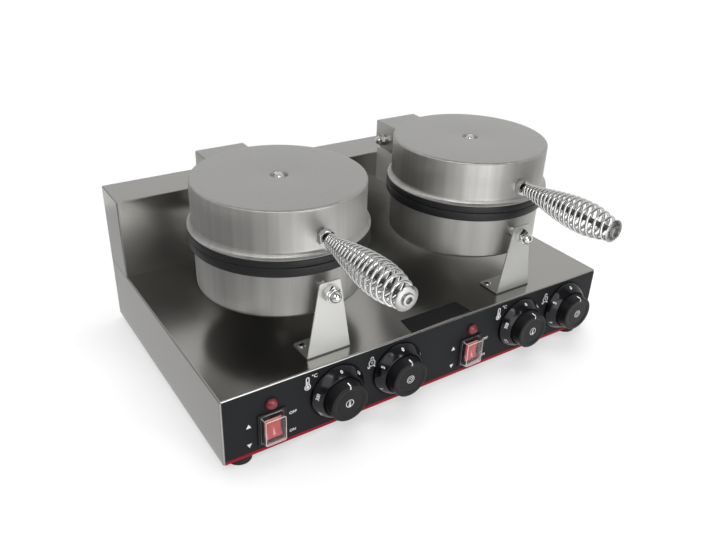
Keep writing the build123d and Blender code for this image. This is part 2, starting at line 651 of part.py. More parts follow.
def d_bore():
    bore = rod_z(0, 0, SHAFT_R, 3, 20)
    return bore - block(-4, 4, SHAFT_R - 0.8, 4, 8, 21)


def shaft():
    """Control shaft with a flat towards its end."""
    stem = rod_z(0, 0, SHAFT_R, -14, 20)
    return stem - block(-4, 4, SHAFT_R - 0.8, 4, 8, 21)


def thermostat():
    body = block(-17, 17, -19, 19, -36, -OVERLAY - SHEET - 0.2)
    bulb = rod_y(9, -24, 3, 19, 27)
    body += bulb
    return body - rod_z(0, 0, SHAFT_R + PIN_CLEARANCE, -15, 1)


def timer():
    body = Pos(0, 0, -20) * Cylinder(21, 36)
    lugs = block(-26, 26, -4, 4, -4, -OVERLAY - SHEET - 0.2)
    return body + lugs - rod_z(0, 0, SHAFT_R + PIN_CLEARANCE, -15, 1)


def switch_frame():
    """Rocker switch body: bezel in front of the panel, box behind it, open for the rocker."""
    width, height, thick = SWITCH_FRAME
    bezel = block(-width / 2, width / 2, -height / 2, height / 2, 0, thick)
    bezel = fillet(bezel.edges().filter_by(Axis.Z), 1.5)
    box_x, box_y, box_deep = SWITCH_BOX
    box = block(-box_x / 2, box_x / 2, -box_y / 2, box_y / 2, -box_deep, 1)
    open_x, open_y = SWITCH_OPENING
    frame = bezel + box
    frame -= block(-open_x / 2, open_x / 2, -open_y / 2, open_y / 2, 3 - box_deep, thick + 1)
    for x in (-8, 0, 8):
        frame += block(x - 0.4, x + 0.4, -3, 3, -box_deep - 8, 1 - box_deep)
    return frame


def rocker():
    """Rocker with two slanted faces, inside a circle about its pivot, tilted to off."""
    depth = ROCKER_PIVOT_DEPTH
    tip = (math.sqrt(ROCKER_R ** 2 - (8.8) ** 2), 8.8)
    low = (math.sqrt(ROCKER_R ** 2 - 25), -5.0)
    outline = Line((-tip[0], tip[1]), (0, 6.3)) + Line((0, 6.3), tip)
    outline += RadiusArc(tip, low, ROCKER_R)
    outline += Line(low, (-low[0], low[1]))
    outline += RadiusArc((-low[0], low[1]), (-tip[0], tip[1]), ROCKER_R)
    body = extrude(Plane.YZ * make_face(outline), ROCKER_WIDTH / 2, both=True)
    pivot = rod_x(0, 0, 1.2, -SWITCH_OPENING[0] / 2 + 0.3, SWITCH_OPENING[0] / 2 - 0.3)
    return Pos(0, 0, -depth) * Rot(-ROCKER_TILT, 0, 0) * (body + pivot)


def switch_cover():
    """Clear splash cover over the rocker, slightly drawn in towards its face."""
    base = SWITCH_FRAME[2]
    height = COVER_PROUD - base
    outer = Pos(0, 0, base) * extrude(RectangleRounded(28, 36, 2.5), height, taper=9)
    inner = Pos(0, 0, base - 0.5) * extrude(RectangleRounded(25.6, 33.6, 1.6), height - 0.5, taper=9)
    return outer - inner


def lamp_body():
    body = turned([(LAMP_R - 1, -25), (LAMP_R - 1, -5), (LAMP_R, -5), (LAMP_R, 0), (LAMP_R + 1.2, 0),
                   (LAMP_R + 1.2, 1.2), (LAMP_R - 0.6, 1.2), (LAMP_R - 0.6, -4), (0, -4), (0, -25)])
    return body


def lamp_lens():
    radius = LAMP_R - 0.7
    dome = Pos(0, 0, 0.6) * Sphere(radius) & block(-8, 8, -8, 8, 0.6, 8)
    return dome + rod_z(0, 0, radius, -3.8, 0.6)


def terminal_block():
    body = block(-30, 30, 150, 170, FOOT_HEIGHT + 8, FOOT_HEIGHT + 28)
    for i in range(5):
        body -= rod_z(-24 + 12 * i, 160, 3, FOOT_HEIGHT + 20, FOOT_HEIGHT + 30)
    return body


def cord_gland():
    """Nylon gland through the back: outer hex, thread through the sheet, inner nut and a bore."""
    gland = hex_prism(GLAND_FLATS, 6) + rod_z(0, 0, GLAND_R, -14, GLAND_PROUD)
    gland += Pos(0, 0, -SHEET - 5.2) * hex_prism(GLAND_FLATS, 5)
    gland -= rod_z(0, 0, GLAND_BORE_R, -20, GLAND_PROUD + 1)
    return Pos(0, BACK, FOOT_HEIGHT + GLAND_RISE) * Rot(-90, 0, 0) * gland


def group(shapes):
    """Separate solids of one kind in one node."""
    solids = []
    for shape in shapes:
        solids += shape.solids()
    return Compound(children=solids)


def save_base():
    save("base_housing", base_housing())
    save("front_panel", front_panel())
    save("bottom_plate", bottom_plate())
    save("rear_box", rear_box())
    save("feet", feet())
    save("terminal_block", terminal_block())
    save("cord_gland", cord_gland())


def save_pans():
    pieces = {
        "hinge_bracket": hinge_bracket(),
        "lower_shell": lower_shell(),
        "lower_plate": lower_half(waffle_plate()),
        "support_bracket": support_bracket(),
    }
    for name, shape in pieces.items():
        for side, x in zip(SIDES, IRON_X):
            save(side + "_" + name, Pos(x, 0, 0) * shape)
    bolt, spacer, nut, cap = support_hardware()
    save("lower_rims", group(both_irons(lower_half(rim_ring(LOWER_RIM - PARTING_GAP / 2)))))
    save("lower_heaters", group(both_irons(lower_heater())))
    save("pan_bolts", group(both_irons(pan_bolt()) + both_irons(bolt)))
    save("bracket_screws", bracket_screws())
    save("support_spacers", group(both_irons(spacer)))
    save("support_nuts", group(both_irons(nut) + both_irons(cap)))


def save_lids():
    pieces = {
        "upper_shell": upper_shell(),
        "upper_plate": upper_half(waffle_plate()),
        "upper_rim": upper_half(rim_ring(UPPER_RIM - PARTING_GAP / 2)),
        "upper_heater": upper_heater(),
        "lid_bolt": lid_bolt(),
        "hinge_arm": hinge_arm(),
        "hinge_pin": hinge_pin(),
        "hinge_nuts": hinge_nuts(),
        "handle_nut": handle_nut(),
        "handle_bolt": handle_bolt(),
        "handle_spring": handle_spring(),
    }
    for name, shape in pieces.items():
        for side, x in zip(SIDES, IRON_X):
            save(side + "_" + name, Pos(x, 0, 0) * shape)


def save_controls():
    z = FOOT_HEIGHT + CONTROL_RISE
    bodies = []
    for kind, places, body in zip(("thermostat", "timer"), control_x(), (thermostat(), timer())):
        save(kind + "_dials", group([panel_at(x, z) * dial() for x in places]))
        bodies += [panel_at(x, z) * body for x in places]
        for side, x in zip(SIDES, places):
            save(side + "_" + kind + "_knob", panel_at(x, z) * knob())
            save(side + "_" + kind + "_shaft", panel_at(x, z) * shaft())
    save("control_bodies", group(bodies))
    switch_x = [x + SWITCH_OFFSET for x in IRON_X]
    switch_z = FOOT_HEIGHT + SWITCH_RISE
    save("switch_frames", group([panel_at(x, switch_z) * switch_frame() for x in switch_x]))
    save("switch_covers", group([panel_at(x, switch_z) * switch_cover() for x in switch_x]))
    for side, x in zip(SIDES, switch_x):
        save(side + "_switch_rocker", panel_at(x, switch_z) * rocker())
    lamp_z = FOOT_HEIGHT + LAMP_RISE
    save("lamp_bodies", group([panel_at(x, lamp_z) * lamp_body() for x in switch_x]))
    save("lamp_lenses", group([panel_at(x, lamp_z) * lamp_lens() for x in switch_x]))


os.makedirs("parts", exist_ok=True)
save_base()
save_pans()
save_lids()
save_controls()
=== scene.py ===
import math
import bpy
import bmesh
from mathutils import Matrix, Vector


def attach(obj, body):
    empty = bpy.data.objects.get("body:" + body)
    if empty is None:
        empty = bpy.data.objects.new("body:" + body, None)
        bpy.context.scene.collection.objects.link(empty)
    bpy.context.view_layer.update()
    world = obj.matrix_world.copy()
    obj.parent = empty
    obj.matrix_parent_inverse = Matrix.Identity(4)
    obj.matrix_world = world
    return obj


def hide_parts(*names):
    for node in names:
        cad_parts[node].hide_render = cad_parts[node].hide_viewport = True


# Looks of the double waffle maker. The pieces are drawn in millimetres and become metres at MM.
# The studio at the end of the file is in metres.

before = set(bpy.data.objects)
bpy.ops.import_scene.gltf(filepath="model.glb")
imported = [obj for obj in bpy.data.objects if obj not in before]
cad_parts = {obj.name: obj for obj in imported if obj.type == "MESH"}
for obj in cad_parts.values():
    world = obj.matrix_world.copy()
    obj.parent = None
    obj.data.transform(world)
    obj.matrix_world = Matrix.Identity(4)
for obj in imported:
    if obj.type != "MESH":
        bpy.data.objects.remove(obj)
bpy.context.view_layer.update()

MM = 0.001
FRONT = -124.0
FOOT = 10.0
DECK = 94.0
WIDTH = 550.0
IRON_X = {"left": -137.5, "right": 137.5}
IRON_Y = 4.5
PAN_BOTTOM = 139.0
PARTING = 203.5
LID_TOP = 265.0
HINGE_Y = 146.0
HINGE_Z = 222.5
HANDLE_Z = 231.3
HANDLE_TIP = -238.0
CONTROL_Z = 55.0
CONTROLS = {"thermostat": 0.0, "timer": 82.0}
SWITCH_OFFSET = -81.0
SWITCH_Z = 40.0
LAMP_Z = 70.5
SUPPORT_BOLT_Z = DECK + 77.5
SHEET_TOP = DECK + 1.5
SIDES = ("left", "right")


# ---------------------------------------------------------------- shader nodes

def new_material(name, color, roughness, metallic=0.0):
    material = bpy.data.materials.new(name)
    material.use_nodes = True
    tree = material.node_tree
    shader = tree.nodes["Principled BSDF"]
    shader.inputs["Base Color"].default_value = (*color, 1.0)
    shader.inputs["Roughness"].default_value = roughness
    shader.inputs["Metallic"].default_value = metallic
    return material, tree, shader


def ramp(tree, source, low, high, start=0.3, end=0.7):
    """Spread a grey value between two levels."""
    node = tree.nodes.new("ShaderNodeMapRange")
    node.inputs["From Min"].default_value = start
    node.inputs["From Max"].default_value = end
    node.inputs["To Min"].default_value = low
    node.inputs["To Max"].default_value = high
    tree.links.new(source, node.inputs["Value"])
    return node.outputs["Result"]


def noise(tree, vector, scale, detail=4.0, rough=0.55):
    node = tree.nodes.new("ShaderNodeTexNoise")
    node.inputs["Scale"].default_value = scale
    node.inputs["Detail"].default_value = detail
    node.inputs["Roughness"].default_value = rough
    tree.links.new(vector, node.inputs["Vector"])
    return node.outputs["Fac"]


def lines_noise(tree, vector, scales):
    """Noise drawn out into lines by a scale for each axis."""
    node = tree.nodes.new("ShaderNodeMapping")
    node.inputs["Scale"].default_value = scales
    tree.links.new(vector, node.inputs["Vector"])
    return noise(tree, node.outputs["Vector"], 1.0, 3.0, 0.6)


def object_space(tree):
    return tree.nodes.new("ShaderNodeTexCoord").outputs["Object"]


def calculate(tree, operation, *values):
    """Output of a Math node fed with sockets or plain numbers."""
    node = tree.nodes.new("ShaderNodeMath")
    node.operation = operation
    for socket, value in zip(node.inputs, values):
        if isinstance(value, float):
            socket.default_value = value
        else:
            tree.links.new(value, socket)
    return node.outputs[0]


def split(tree, vector):
    """X, Y and Z outputs of a vector."""
    node = tree.nodes.new("ShaderNodeSeparateXYZ")
    tree.links.new(vector, node.inputs[0])
    return node.outputs


def blend(tree, factor, first, second):
    """Colour between two, each a socket or a plain colour."""
    node = tree.nodes.new("ShaderNodeMix")
    node.data_type = "RGBA"
    tree.links.new(factor, node.inputs["Factor"])
    for key, value in (("A", first), ("B", second)):
        if isinstance(value, tuple):
            node.inputs[key].default_value = value
        else:
            tree.links.new(value, node.inputs[key])
    return node.outputs["Result"]


def bump(tree, shader, height, strength, distance=0.0001):
    node = tree.nodes.new("ShaderNodeBump")
    node.inputs["Strength"].default_value = strength
    node.inputs["Distance"].default_value = distance
    tree.links.new(height, node.inputs["Height"])
    tree.links.new(node.outputs["Normal"], shader.inputs["Normal"])


def tint(tree, shader, value, color, spread):
    """Vary the base colour a little, up and down, with a grey value."""
    low = (*[c * (1 - spread) for c in color], 1)
    high = (*[min(1, c * (1 + spread)) for c in color], 1)
    shade = blend(tree, value, low, high)
    tree.links.new(shade, shader.inputs["Base Color"])
    return shade


def vary_roughness(tree, shader, value, low, high):
    tree.links.new(ramp(tree, value, low, high), shader.inputs["Roughness"])


# ---------------------------------------------------------------- materials

def sheet_steel(name, color, grain, roughness, cloud):
    """Brushed sheet: long fine lines along one axis, faint clouds, roughness that follows them."""
    line_share = 0.55
    material, tree, shader = new_material(name, color, roughness, 1.0)
    place = object_space(tree)
    lines = lines_noise(tree, place, grain)
    clouds = calculate(tree, "MULTIPLY", noise(tree, place, 9.0, 2.0), 1 - line_share)
    both = calculate(tree, "MULTIPLY_ADD", lines, line_share, clouds)
    tint(tree, shader, ramp(tree, both, 0, 1), color, cloud)
    vary_roughness(tree, shader, lines, roughness - 0.03, roughness + 0.04)
    bump(tree, shader, lines, 0.02)
    return material


def darken_fold(material, height, level):
    """Painted shadow: darken the base colour below a height, on faces that do not look up, for the
    dark line where a fold meets the deck.
    """
    tree = material.node_tree
    shader = tree.nodes["Principled BSDF"]
    normal = tree.nodes.new("ShaderNodeNewGeometry").outputs["Normal"]
    low = ramp(tree, split(tree, object_space(tree))["Z"], 1.0, 0.0, height * MM,
               (height + 0.6) * MM)
    upright = ramp(tree, split(tree, normal)["Z"], 1.0, 0.0, 0.3, 0.6)
    both = calculate(tree, "MULTIPLY", low, upright)
    sheet = shader.inputs["Base Color"].links[0].from_socket
    shade = blend(tree, both, sheet, (level, level, level, 1))
    tree.links.new(shade, shader.inputs["Base Color"])


def spun_steel(name, centre_x):
    """Sheet brushed round an upright axis: fine rings and faint upright bands on its wall."""
    color, roughness = (0.40, 0.395, 0.38), 0.36
    material, tree, shader = new_material(name, color, roughness, 1.0)
    shader.inputs["Anisotropic"].default_value = 0.88
    x, y, z = split(tree, object_space(tree))
    east = calculate(tree, "SUBTRACT", x, centre_x * MM)
    north = calculate(tree, "SUBTRACT", y, IRON_Y * MM)
    around = tree.nodes.new("ShaderNodeCombineXYZ")
    tree.links.new(calculate(tree, "ARCTAN2", north, east), around.inputs["X"])
    tree.links.new(z, around.inputs["Z"])
    rings = lines_noise(tree, around.outputs[0], (2.2, 1, 2600))
    bands = lines_noise(tree, around.outputs[0], (9.0, 1, 4))
    tint(tree, shader, ramp(tree, bands, 0, 1), color, 0.11)
    vary_roughness(tree, shader, rings, roughness - 0.04, roughness + 0.06)
    bump(tree, shader, rings, 0.08)
    tangent = tree.nodes.new("ShaderNodeTangent")
    tangent.direction_type = "RADIAL"
    tangent.axis = "Z"
    tree.links.new(tangent.outputs[0], shader.inputs["Tangent"])
    return material


def bright_metal(name, color, roughness):
    """Plated metal with faint smears in its gloss."""
    material, tree, shader = new_material(name, color, roughness, 1.0)
    smears = noise(tree, object_space(tree), 160.0, 3.0)
    vary_roughness(tree, shader, smears, roughness * 0.7, roughness * 1.6)
    tint(tree, shader, smears, color, 0.04)
    return material


def plastic(name, color, roughness, grain=0.0, gloss=0.5):
    """Moulded plastic with a fine, even skin."""
    material, tree, shader = new_material(name, color, roughness)
    shader.inputs["Specular IOR Level"].default_value = gloss
    place = object_space(tree)
    wide = noise(tree, place, 30.0, 3.0)
    tint(tree, shader, wide, color, 0.12)
    vary_roughness(tree, shader, wide, roughness - 0.04, roughness + 0.06)
    if grain:
        bump(tree, shader, noise(tree, place, 1800.0, 2.0), grain)
    return material


def panel_film():
    """Black panel film with a red stripe along its foot."""
    black, red, stripe_height = (0.014, 0.015, 0.017), (0.36, 0.010, 0.028, 1), 4.2
    material, tree, shader = new_material("panel_film", black, 0.45)
    shader.inputs["Specular IOR Level"].default_value = 0.12
    place = object_space(tree)
    shade = tint(tree, shader, noise(tree, place, 25.0, 3.0), black, 0.10)
    foot = calculate(tree, "LESS_THAN", split(tree, place)["Z"], (FOOT + stripe_height) * MM)
    tree.links.new(blend(tree, foot, shade, red), shader.inputs["Base Color"])
    bump(tree, shader, noise(tree, place, 2200.0, 2.0), 0.08)
    return material


def cast_coating():
    """Non-stick coating over cast metal: near black, faint speckle."""
    color = (0.012, 0.012, 0.013)
    material, tree, shader = new_material("cast_coating", color, 0.38)
    shader.inputs["Specular IOR Level"].default_value = 0.28
    place = object_space(tree)
    speck = noise(tree, place, 900.0, 4.0)
    tint(tree, shader, ramp(tree, speck, 0, 1), color, 0.35)
    vary_roughness(tree, shader, noise(tree, place, 60.0), 0.30, 0.46)
    bump(tree, shader, speck, 0.15, 0.0002)
    return material


def clear_skin():
    """Soft clear cover, a little cloudy."""
    color = (0.95, 0.90, 0.90)
    material, tree, shader = new_material("clear_skin", color, 0.16)
    shader.inputs["Transmission Weight"].default_value = 1.0
    shader.inputs["IOR"].default_value = 1.38
    cloud = noise(tree, object_space(tree), 220.0, 2.0)
    vary_roughness(tree, shader, cloud, 0.10, 0.22)
    tint(tree, shader, cloud, color, 0.04)
    return material


def red_plastic(name, color, roughness):
    """Translucent moulding with a thin gloss."""
    material, tree, shader = new_material(name, color, roughness)
    shader.inputs["Subsurface Weight"].default_value = 0.15
    shader.inputs["Subsurface Radius"].default_value = (0.004, 0.0005, 0.0005)
    shader.inputs["Coat Weight"].default_value = 0.2
    shader.inputs["Coat Roughness"].default_value = 0.08
    tint(tree, shader, noise(tree, object_space(tree), 260.0, 3.0), color, 0.18)
    return material


ALONG_X = (30, 2200, 2200)
ALONG_Z = (1900, 1900, 40)
deck_steel = sheet_steel("deck_steel", (0.385, 0.38, 0.365), ALONG_X, 0.22, 0.03)
# painted shade: a slightly darker copy of the sheet steel, for the rear box's dim front
shaded_box_steel = sheet_steel("shaded_box_steel", (0.36, 0.355, 0.34), ALONG_X, 0.22, 0.02)
fold_steel = sheet_steel("fold_steel", (0.38, 0.375, 0.36), (1500, 40, 1500), 0.32, 0.03)
top_steel = sheet_steel("top_steel", (0.385, 0.38, 0.37), (26, 1900, 1900), 0.30, 0.02)
pale_steel = sheet_steel("pale_steel", (0.56, 0.56, 0.54), ALONG_Z, 0.48, 0.05)
# painted shadow along the foot of the support bracket, where it meets the deck
darken_fold(pale_steel, SHEET_TOP, 0.12)
# painted light: a paler copy of the sheet steel, so the hinge brackets' dim sides read lighter
lightened_hinge_steel = sheet_steel("lightened_hinge_steel", (0.68, 0.68, 0.65), ALONG_Z, 0.58, 0.04)
spun = {side: spun_steel("spun_" + side, x) for side, x in IRON_X.items()}
chrome = bright_metal("bright_chrome", (0.55, 0.55, 0.55), 0.08)
wire_chrome = bright_metal("wire_chrome", (0.66, 0.66, 0.65), 0.10)
end_steel = bright_metal("end_steel", (0.36, 0.36, 0.355), 0.30)
cap_chrome = bright_metal("cap_chrome", (0.66, 0.66, 0.65), 0.05)
heater_metal = bright_metal("heater_metal", (0.30, 0.29, 0.28), 0.35)
dark_rod = bright_metal("dark_rod", (0.13, 0.13, 0.13), 0.30)
coating = cast_coating()
film = panel_film()
film_plain = plastic("film_plain", (0.008, 0.008, 0.009), 0.45, 0.05, 0.12)
knob_plastic = plastic("knob_plastic", (0.007, 0.007, 0.008), 0.36, 0.10, 0.20)
dial_plastic = plastic("dial_plastic", (0.004, 0.004, 0.006), 0.14, 0.03, 0.34)
frame_plastic = plastic("frame_plastic", (0.008, 0.008, 0.009), 0.34, 0.10, 0.24)
body_plastic = plastic("body_plastic", (0.30, 0.28, 0.25), 0.5, 0.1)
foot_rubber = plastic("foot_rubber", (0.012, 0.012, 0.012), 0.62, 0.25, 0.3)
print_white = plastic("print_white", (0.90, 0.90, 0.90), 0.5)
# milky white for the painted highlights on the switch covers
highlight_milky = plastic("highlight_milky", (0.80, 0.76, 0.75), 0.25)
red_lens = red_plastic("red_lens", (0.20, 0.008, 0.015), 0.26)
red_rocker = red_plastic("red_rocker", (0.55, 0.045, 0.05), 0.28)
# pale red for the painted highlights on the rocker
highlight_red = red_plastic("highlight_red", (0.95, 0.52, 0.52), 0.25)
cover_skin = clear_skin()


# ---------------------------------------------------------------- outlines and parts
# A part is a pair of lists: points in millimetres, and faces.

def arc(cx, cy, r, start, end, steps=6):
    """Points of an arc in an outline, angles in degrees."""
    span = [math.radians(start + (end - start) * k / steps) for k in range(steps + 1)]
    return [(cx + r * math.cos(a), cy + r * math.sin(a)) for a in span]


def circle(radius, steps=40, cy=0.0):
    return arc(0, cy, radius, 0, 360, steps)[:-1]


def rounded_outline(width, height, radius, steps):
    hx, hy = width / 2 - radius, height / 2 - radius
    points = []
    for cx, cy, start in ((hx, hy, 0), (-hx, hy, 90), (-hx, -hy, 180), (hx, -hy, 270)):
        points += arc(cx, cy, radius, start, start + 90, steps)
    return points


def shift(x, y, z):
    return Matrix.Translation((x, y, z))


def turn(degrees, axis):
    return Matrix.Rotation(math.radians(degrees), 4, axis)


def out_of_panel(x, z):
    """Z points out of the front panel, Y up."""
    return shift(x, FRONT, z) @ turn(90, "X")


def moved(part, place):
    verts, faces = part
    return [tuple(place @ Vector(v)) for v in verts], faces


def join(*parts):
    """Several parts as one."""
    verts, faces = [], []
    for v, f in parts:
        base = len(verts)
        verts += v
        faces += [tuple(i + base for i in face) for face in f]
    return verts, faces


def lathe(profile, steps=96, closed=True):
    """A (radius, height) outline turned about Z."""
    verts, rings = [], []
    for r, z in profile:
        if r < 1e-6:
            rings.append([len(verts)])
            verts.append((0, 0, z))
        else:
            rings.append(list(range(len(verts), len(verts) + steps)))
            for k in range(steps):
                a = 2 * math.pi * k / steps
                verts.append((r * math.cos(a), r * math.sin(a), z))
    faces = []
    pairs = list(zip(rings, rings[1:]))
    if closed:
        pairs.append((rings[-1], rings[0]))
    for low, high in pairs:
        if len(low) == 1 and len(high) == 1:
            continue
        for k in range(steps):
            n = (k + 1) % steps
            if len(low) == 1:
                faces.append((low[0], high[n], high[k]))
            elif len(high) == 1:
                faces.append((low[k], low[n], high[0]))
            else:
                faces.append((low[k], low[n], high[n], high[k]))
    return verts, faces


def ring_faces(count, steps):
    """Walls between stacked rings of points, and the two caps."""
    walls = []
    for low in range(0, (count - 1) * steps, steps):
        for k in range(steps):
            n = (k + 1) % steps
            walls.append((low + k, low + n, low + steps + n, low + steps + k))
    caps = [tuple(reversed(range(steps))), tuple(range((count - 1) * steps, count * steps))]
    return walls, caps


def layered(outlines):
    """A closed skin through outlines of equal count: each is (points, height)."""
    verts = [(x, y, z) for points, z in outlines for x, y in points]
    walls, caps = ring_faces(len(outlines), len(outlines[0][0]))
    return verts, caps + walls


def prism(outline, low, high):
    return layered([(outline, low), (outline, high)])


def hexagon(flats, height, steps=72):
    """A hexagonal prism with the rounded corner chamfers of a turned nut."""
    half = flats / 2
    face = half * 0.97
    slope, depth = 0.58, 0.8
    angles = [2 * math.pi * k / steps for k in range(steps)]
    edge = [half / math.cos((a + math.pi / 6) % (math.pi / 3) - math.pi / 6) for a in angles]
    drop = [max(0.0, r - face) * slope * depth for r in edge]
    rows = [[(face, 0)] * steps, list(zip(edge, drop)),
            [(r, height - d) for r, d in zip(edge, drop)], [(face, height)] * steps]
    verts = [(r * math.cos(a), r * math.sin(a), z)
             for row in rows for a, (r, z) in zip(angles, row)]
    walls, caps = ring_faces(len(rows), steps)
    return verts, walls + caps


def tube(points, radius, sides):
    """A round tube along points, without twist."""
    pts = [Vector(p) for p in points]
    last = len(pts) - 1
    ways = [(pts[min(i + 1, last)] - pts[max(i - 1, 0)]).normalized() for i in range(last + 1)]
    side = ways[0].orthogonal().normalized()
    verts = []
    for p, w in zip(pts, ways):
        side = (side - w * side.dot(w)).normalized()
        across = w.cross(side)
        for k in range(sides):
            a = 2 * math.pi * k / sides
            verts.append(tuple(p + (side * math.cos(a) + across * math.sin(a)) * radius))
    walls, caps = ring_faces(len(pts), sides)
    return verts, walls + caps


# ---------------------------------------------------------------- pieces

WELD = 1e-7
LOOKS_UP = 0.97
SOFT_EDGE, SHARP_EDGE, COIL_EDGE = 35.0, 28.0, 60.0


def new_object(name, data):
    thing = bpy.data.objects.new(name, data)
    bpy.context.collection.objects.link(thing)
    return thing


def smooth_to_edges(mesh, sharp):
    """Smooth shading with sharp edges past an angle."""
    bm = bmesh.new()
    bm.from_mesh(mesh)
    bmesh.ops.remove_doubles(bm, verts=bm.verts, dist=WELD)
    bmesh.ops.recalc_face_normals(bm, faces=bm.faces)
    for face in bm.faces:
        face.smooth = True
    for edge in bm.edges:
        if len(edge.link_faces) == 2:
            edge.smooth = edge.calc_face_angle(0.0) < math.radians(sharp)
    bm.to_mesh(mesh)
    bm.free()


def make(name, part, material, body, place, replaces=(), sharp=SOFT_EDGE, bevel=0.0,
         flat=None):
    """A piece on its body, in place of CAD nodes.

    The flat material goes on the faces that look straight up.
    """
    verts, faces = part
    place = place or Matrix.Identity(4)
    mesh = bpy.data.meshes.new(name)
    mesh.from_pydata([tuple((place @ Vector(v)) * MM) for v in verts], [], faces)
    smooth_to_edges(mesh, sharp)
    mesh.materials.append(material)
    if flat:
        mesh.materials.append(flat)
        for polygon in mesh.polygons:
            polygon.material_index = int(polygon.normal.z > LOOKS_UP)
    piece = new_object(name, mesh)
    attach(piece, body)
    if bevel:
        edge = piece.modifiers.new("edge", "BEVEL")
        edge.width = bevel * MM
        edge.segments = 3
        edge.limit_method = "ANGLE"
        edge.angle_limit = math.radians(40)
        edge.harden_normals = False
    if replaces:
        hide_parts(*replaces)


# ---------------------------------------------------------------- CAD nodes that stay

def dress(material, *names):
    for name in names:
        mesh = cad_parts[name].data
        mesh.materials.clear()
        mesh.materials.append(material)


dress(deck_steel, "base_housing", "bottom_plate")
dress(shaded_box_steel, "rear_box")
dress(film, "front_panel")
dress(foot_rubber, "feet")
dress(frame_plastic, "cord_gland")
dress(body_plastic, "terminal_block", "control_bodies")
dress(heater_metal, "lower_heaters")
dress(chrome, "pan_bolts", "support_spacers")
for side in SIDES:
    dress(fold_steel, side + "_hinge_arm")
    dress(lightened_hinge_steel, side + "_hinge_bracket")
    dress(pale_steel, side + "_support_bracket")
    dress(heater_metal, side + "_upper_heater")
    dress(chrome, side + "_hinge_pin", side + "_thermostat_shaft", side + "_timer_shaft")


# ---------------------------------------------------------------- irons

SHEET = 1.2
LID_R, LID_FOOT, DIMPLE_DEPTH = 98.0, -53.5, 4.8
PAN_R, PAN_BEND, PAN_HEIGHT = 97.0, 5.0, 54
FLOOR = -11.0
PLATE_BACK = -17.0
PLATE_GAP = 0.15
STUD_PITCH, STUD_HALF, STUD_REACH = 19.5, 5.5, 86.0
RIB_HALF = 90.5
UPPER_RIM, LOWER_RIM = 7.85, 10.35


def iron(side, z):
    return shift(IRON_X[side], IRON_Y, z)


def upper_shell_outline():
    """Closed outline of the spun lid: dimple, flat top, rounded edge, wall and flared foot."""
    r, foot = LID_R, LID_FOOT
    dimple = [(4.1, -4.8), (7.2, -4.8), *arc(7.2, -3.6, 1.2, -80, -20, 4),
              *arc(11.2, -1.6, 1.6, 160, 90, 5)]
    wall = [(60, 0), (r - 3, 0), *arc(r - 3, -3, 3, 85, 0, 8), (r, -20)]
    flare = [*arc(107.0, foot + 9.26, 9.0, 181.7, 243.6, 12), (103.0, foot + 0.5), (102.7, foot)]
    inner = [(101.5, foot), *arc(106.8, foot + 9.3, 10.2, 240, 184, 8), (r - SHEET, -4),
             *arc(r - 3, -3, 1.8, 0, 90, 5), (12, -SHEET), (9.5, -3), (8.6, -6.0), (4.1, -6.0)]
    return dimple + wall + flare + inner


def lower_shell_outline():
    """Closed outline of the pan: floor with its bolt hole, rounded bend and wall."""
    r, t, e = PAN_R, SHEET, PAN_BEND
    outer = [(4.3, 0), (r - e, 0), *arc(r - e, e, e, -80, 0, 8), (r, 20), (r, PAN_HEIGHT)]
    inner = [(r - t, PAN_HEIGHT), (r - t, e), *arc(r - e, e, e - t, 0, -90, 6), (4.3, t)]
    return outer + inner


def stud():
    """One drafted stud with a flared foot and softened top edges: width, height, corner."""
    rows = [(12.2, 0.0, 1.2), (11.3, 0.35, 1.1), (10.9, 1.0, 1.0), (8.5, 7.3, 0.9),
            (8.1, 7.8, 0.9), (7.2, 8.0, 0.8)]
    return layered([(rounded_outline(s, s, r, 2), z) for s, z, r in rows])


def rib():
    """Low rib across the plate, as points along X."""
    bar = [(-1.75, -0.4), (1.75, -0.4), (1.5, 4.4), (1.1, 5.0), (-1.1, 5.0), (-1.5, 4.4)]
    walls, caps = ring_faces(2, len(bar))
    return [(x, y, z) for x in (-RIB_HALF, RIB_HALF) for y, z in bar], caps + walls


def plate_part():
    """Studded floor of a cast plate: turned disc with its boss, studs and crossing ribs."""
    back = PLATE_BACK
    body = [(0, back), (94.7, back), *arc(94.7, back + 0.8, 0.8, -90, 0, 3), (95.5, FLOOR),
            (0, FLOOR)]
    boss = [(4, back - 11), (8.6, back - 11), (9, back - 10.6), (10, back + 0.2), (4, back + 0.2)]
    parts = [lathe(body, 144, closed=False), lathe(boss, 48)]
    for i in range(-4, 4):
        for j in range(-4, 4):
            x, y = (i + 0.5) * STUD_PITCH, (j + 0.5) * STUD_PITCH
            if math.hypot(abs(x) + STUD_HALF, abs(y) + STUD_HALF) < STUD_REACH:
                parts.append(moved(stud(), shift(x, y, FLOOR)))
    for angle in (0, 90):
        parts.append(moved(rib(), turn(angle, "Z") @ shift(0, 0, FLOOR)))
    return join(*parts)


def rim_part(rim):
    """Overhanging rim of a plate, with a rounded outer edge and a fillet at the cavity's foot."""
    outer = [(95.5, FLOOR), (95.5, -rim), (102.8, -rim), *arc(102.8, -rim + 0.7, 0.7, -90, 0, 3)]
    top = [*arc(102.4, -1.1, 1.1, 0, 90, 5), (94.2, 0), *arc(94.2, -1.2, 1.2, 90, 165, 4)]
    return lathe(outer + top + [(90.5, FLOOR + 1.0), (90.1, FLOOR + 0.3), (89.3, FLOOR)], 160)


def lid_bolt_part():
    """Domed hexagon bolt that stands in the lid's dimple, with its shank."""
    head = [(0, 0), (5.2, 0), (5.2, 2.9), *arc(0, 1, 5.4, 22, 90, 10)]
    shank = [(0, -38), (4, -38), (4, 0.2), (0, 0.2)]
    return join(lathe(head, 48, closed=False), lathe(shank, 32, closed=False), hexagon(10.8, 3.0))


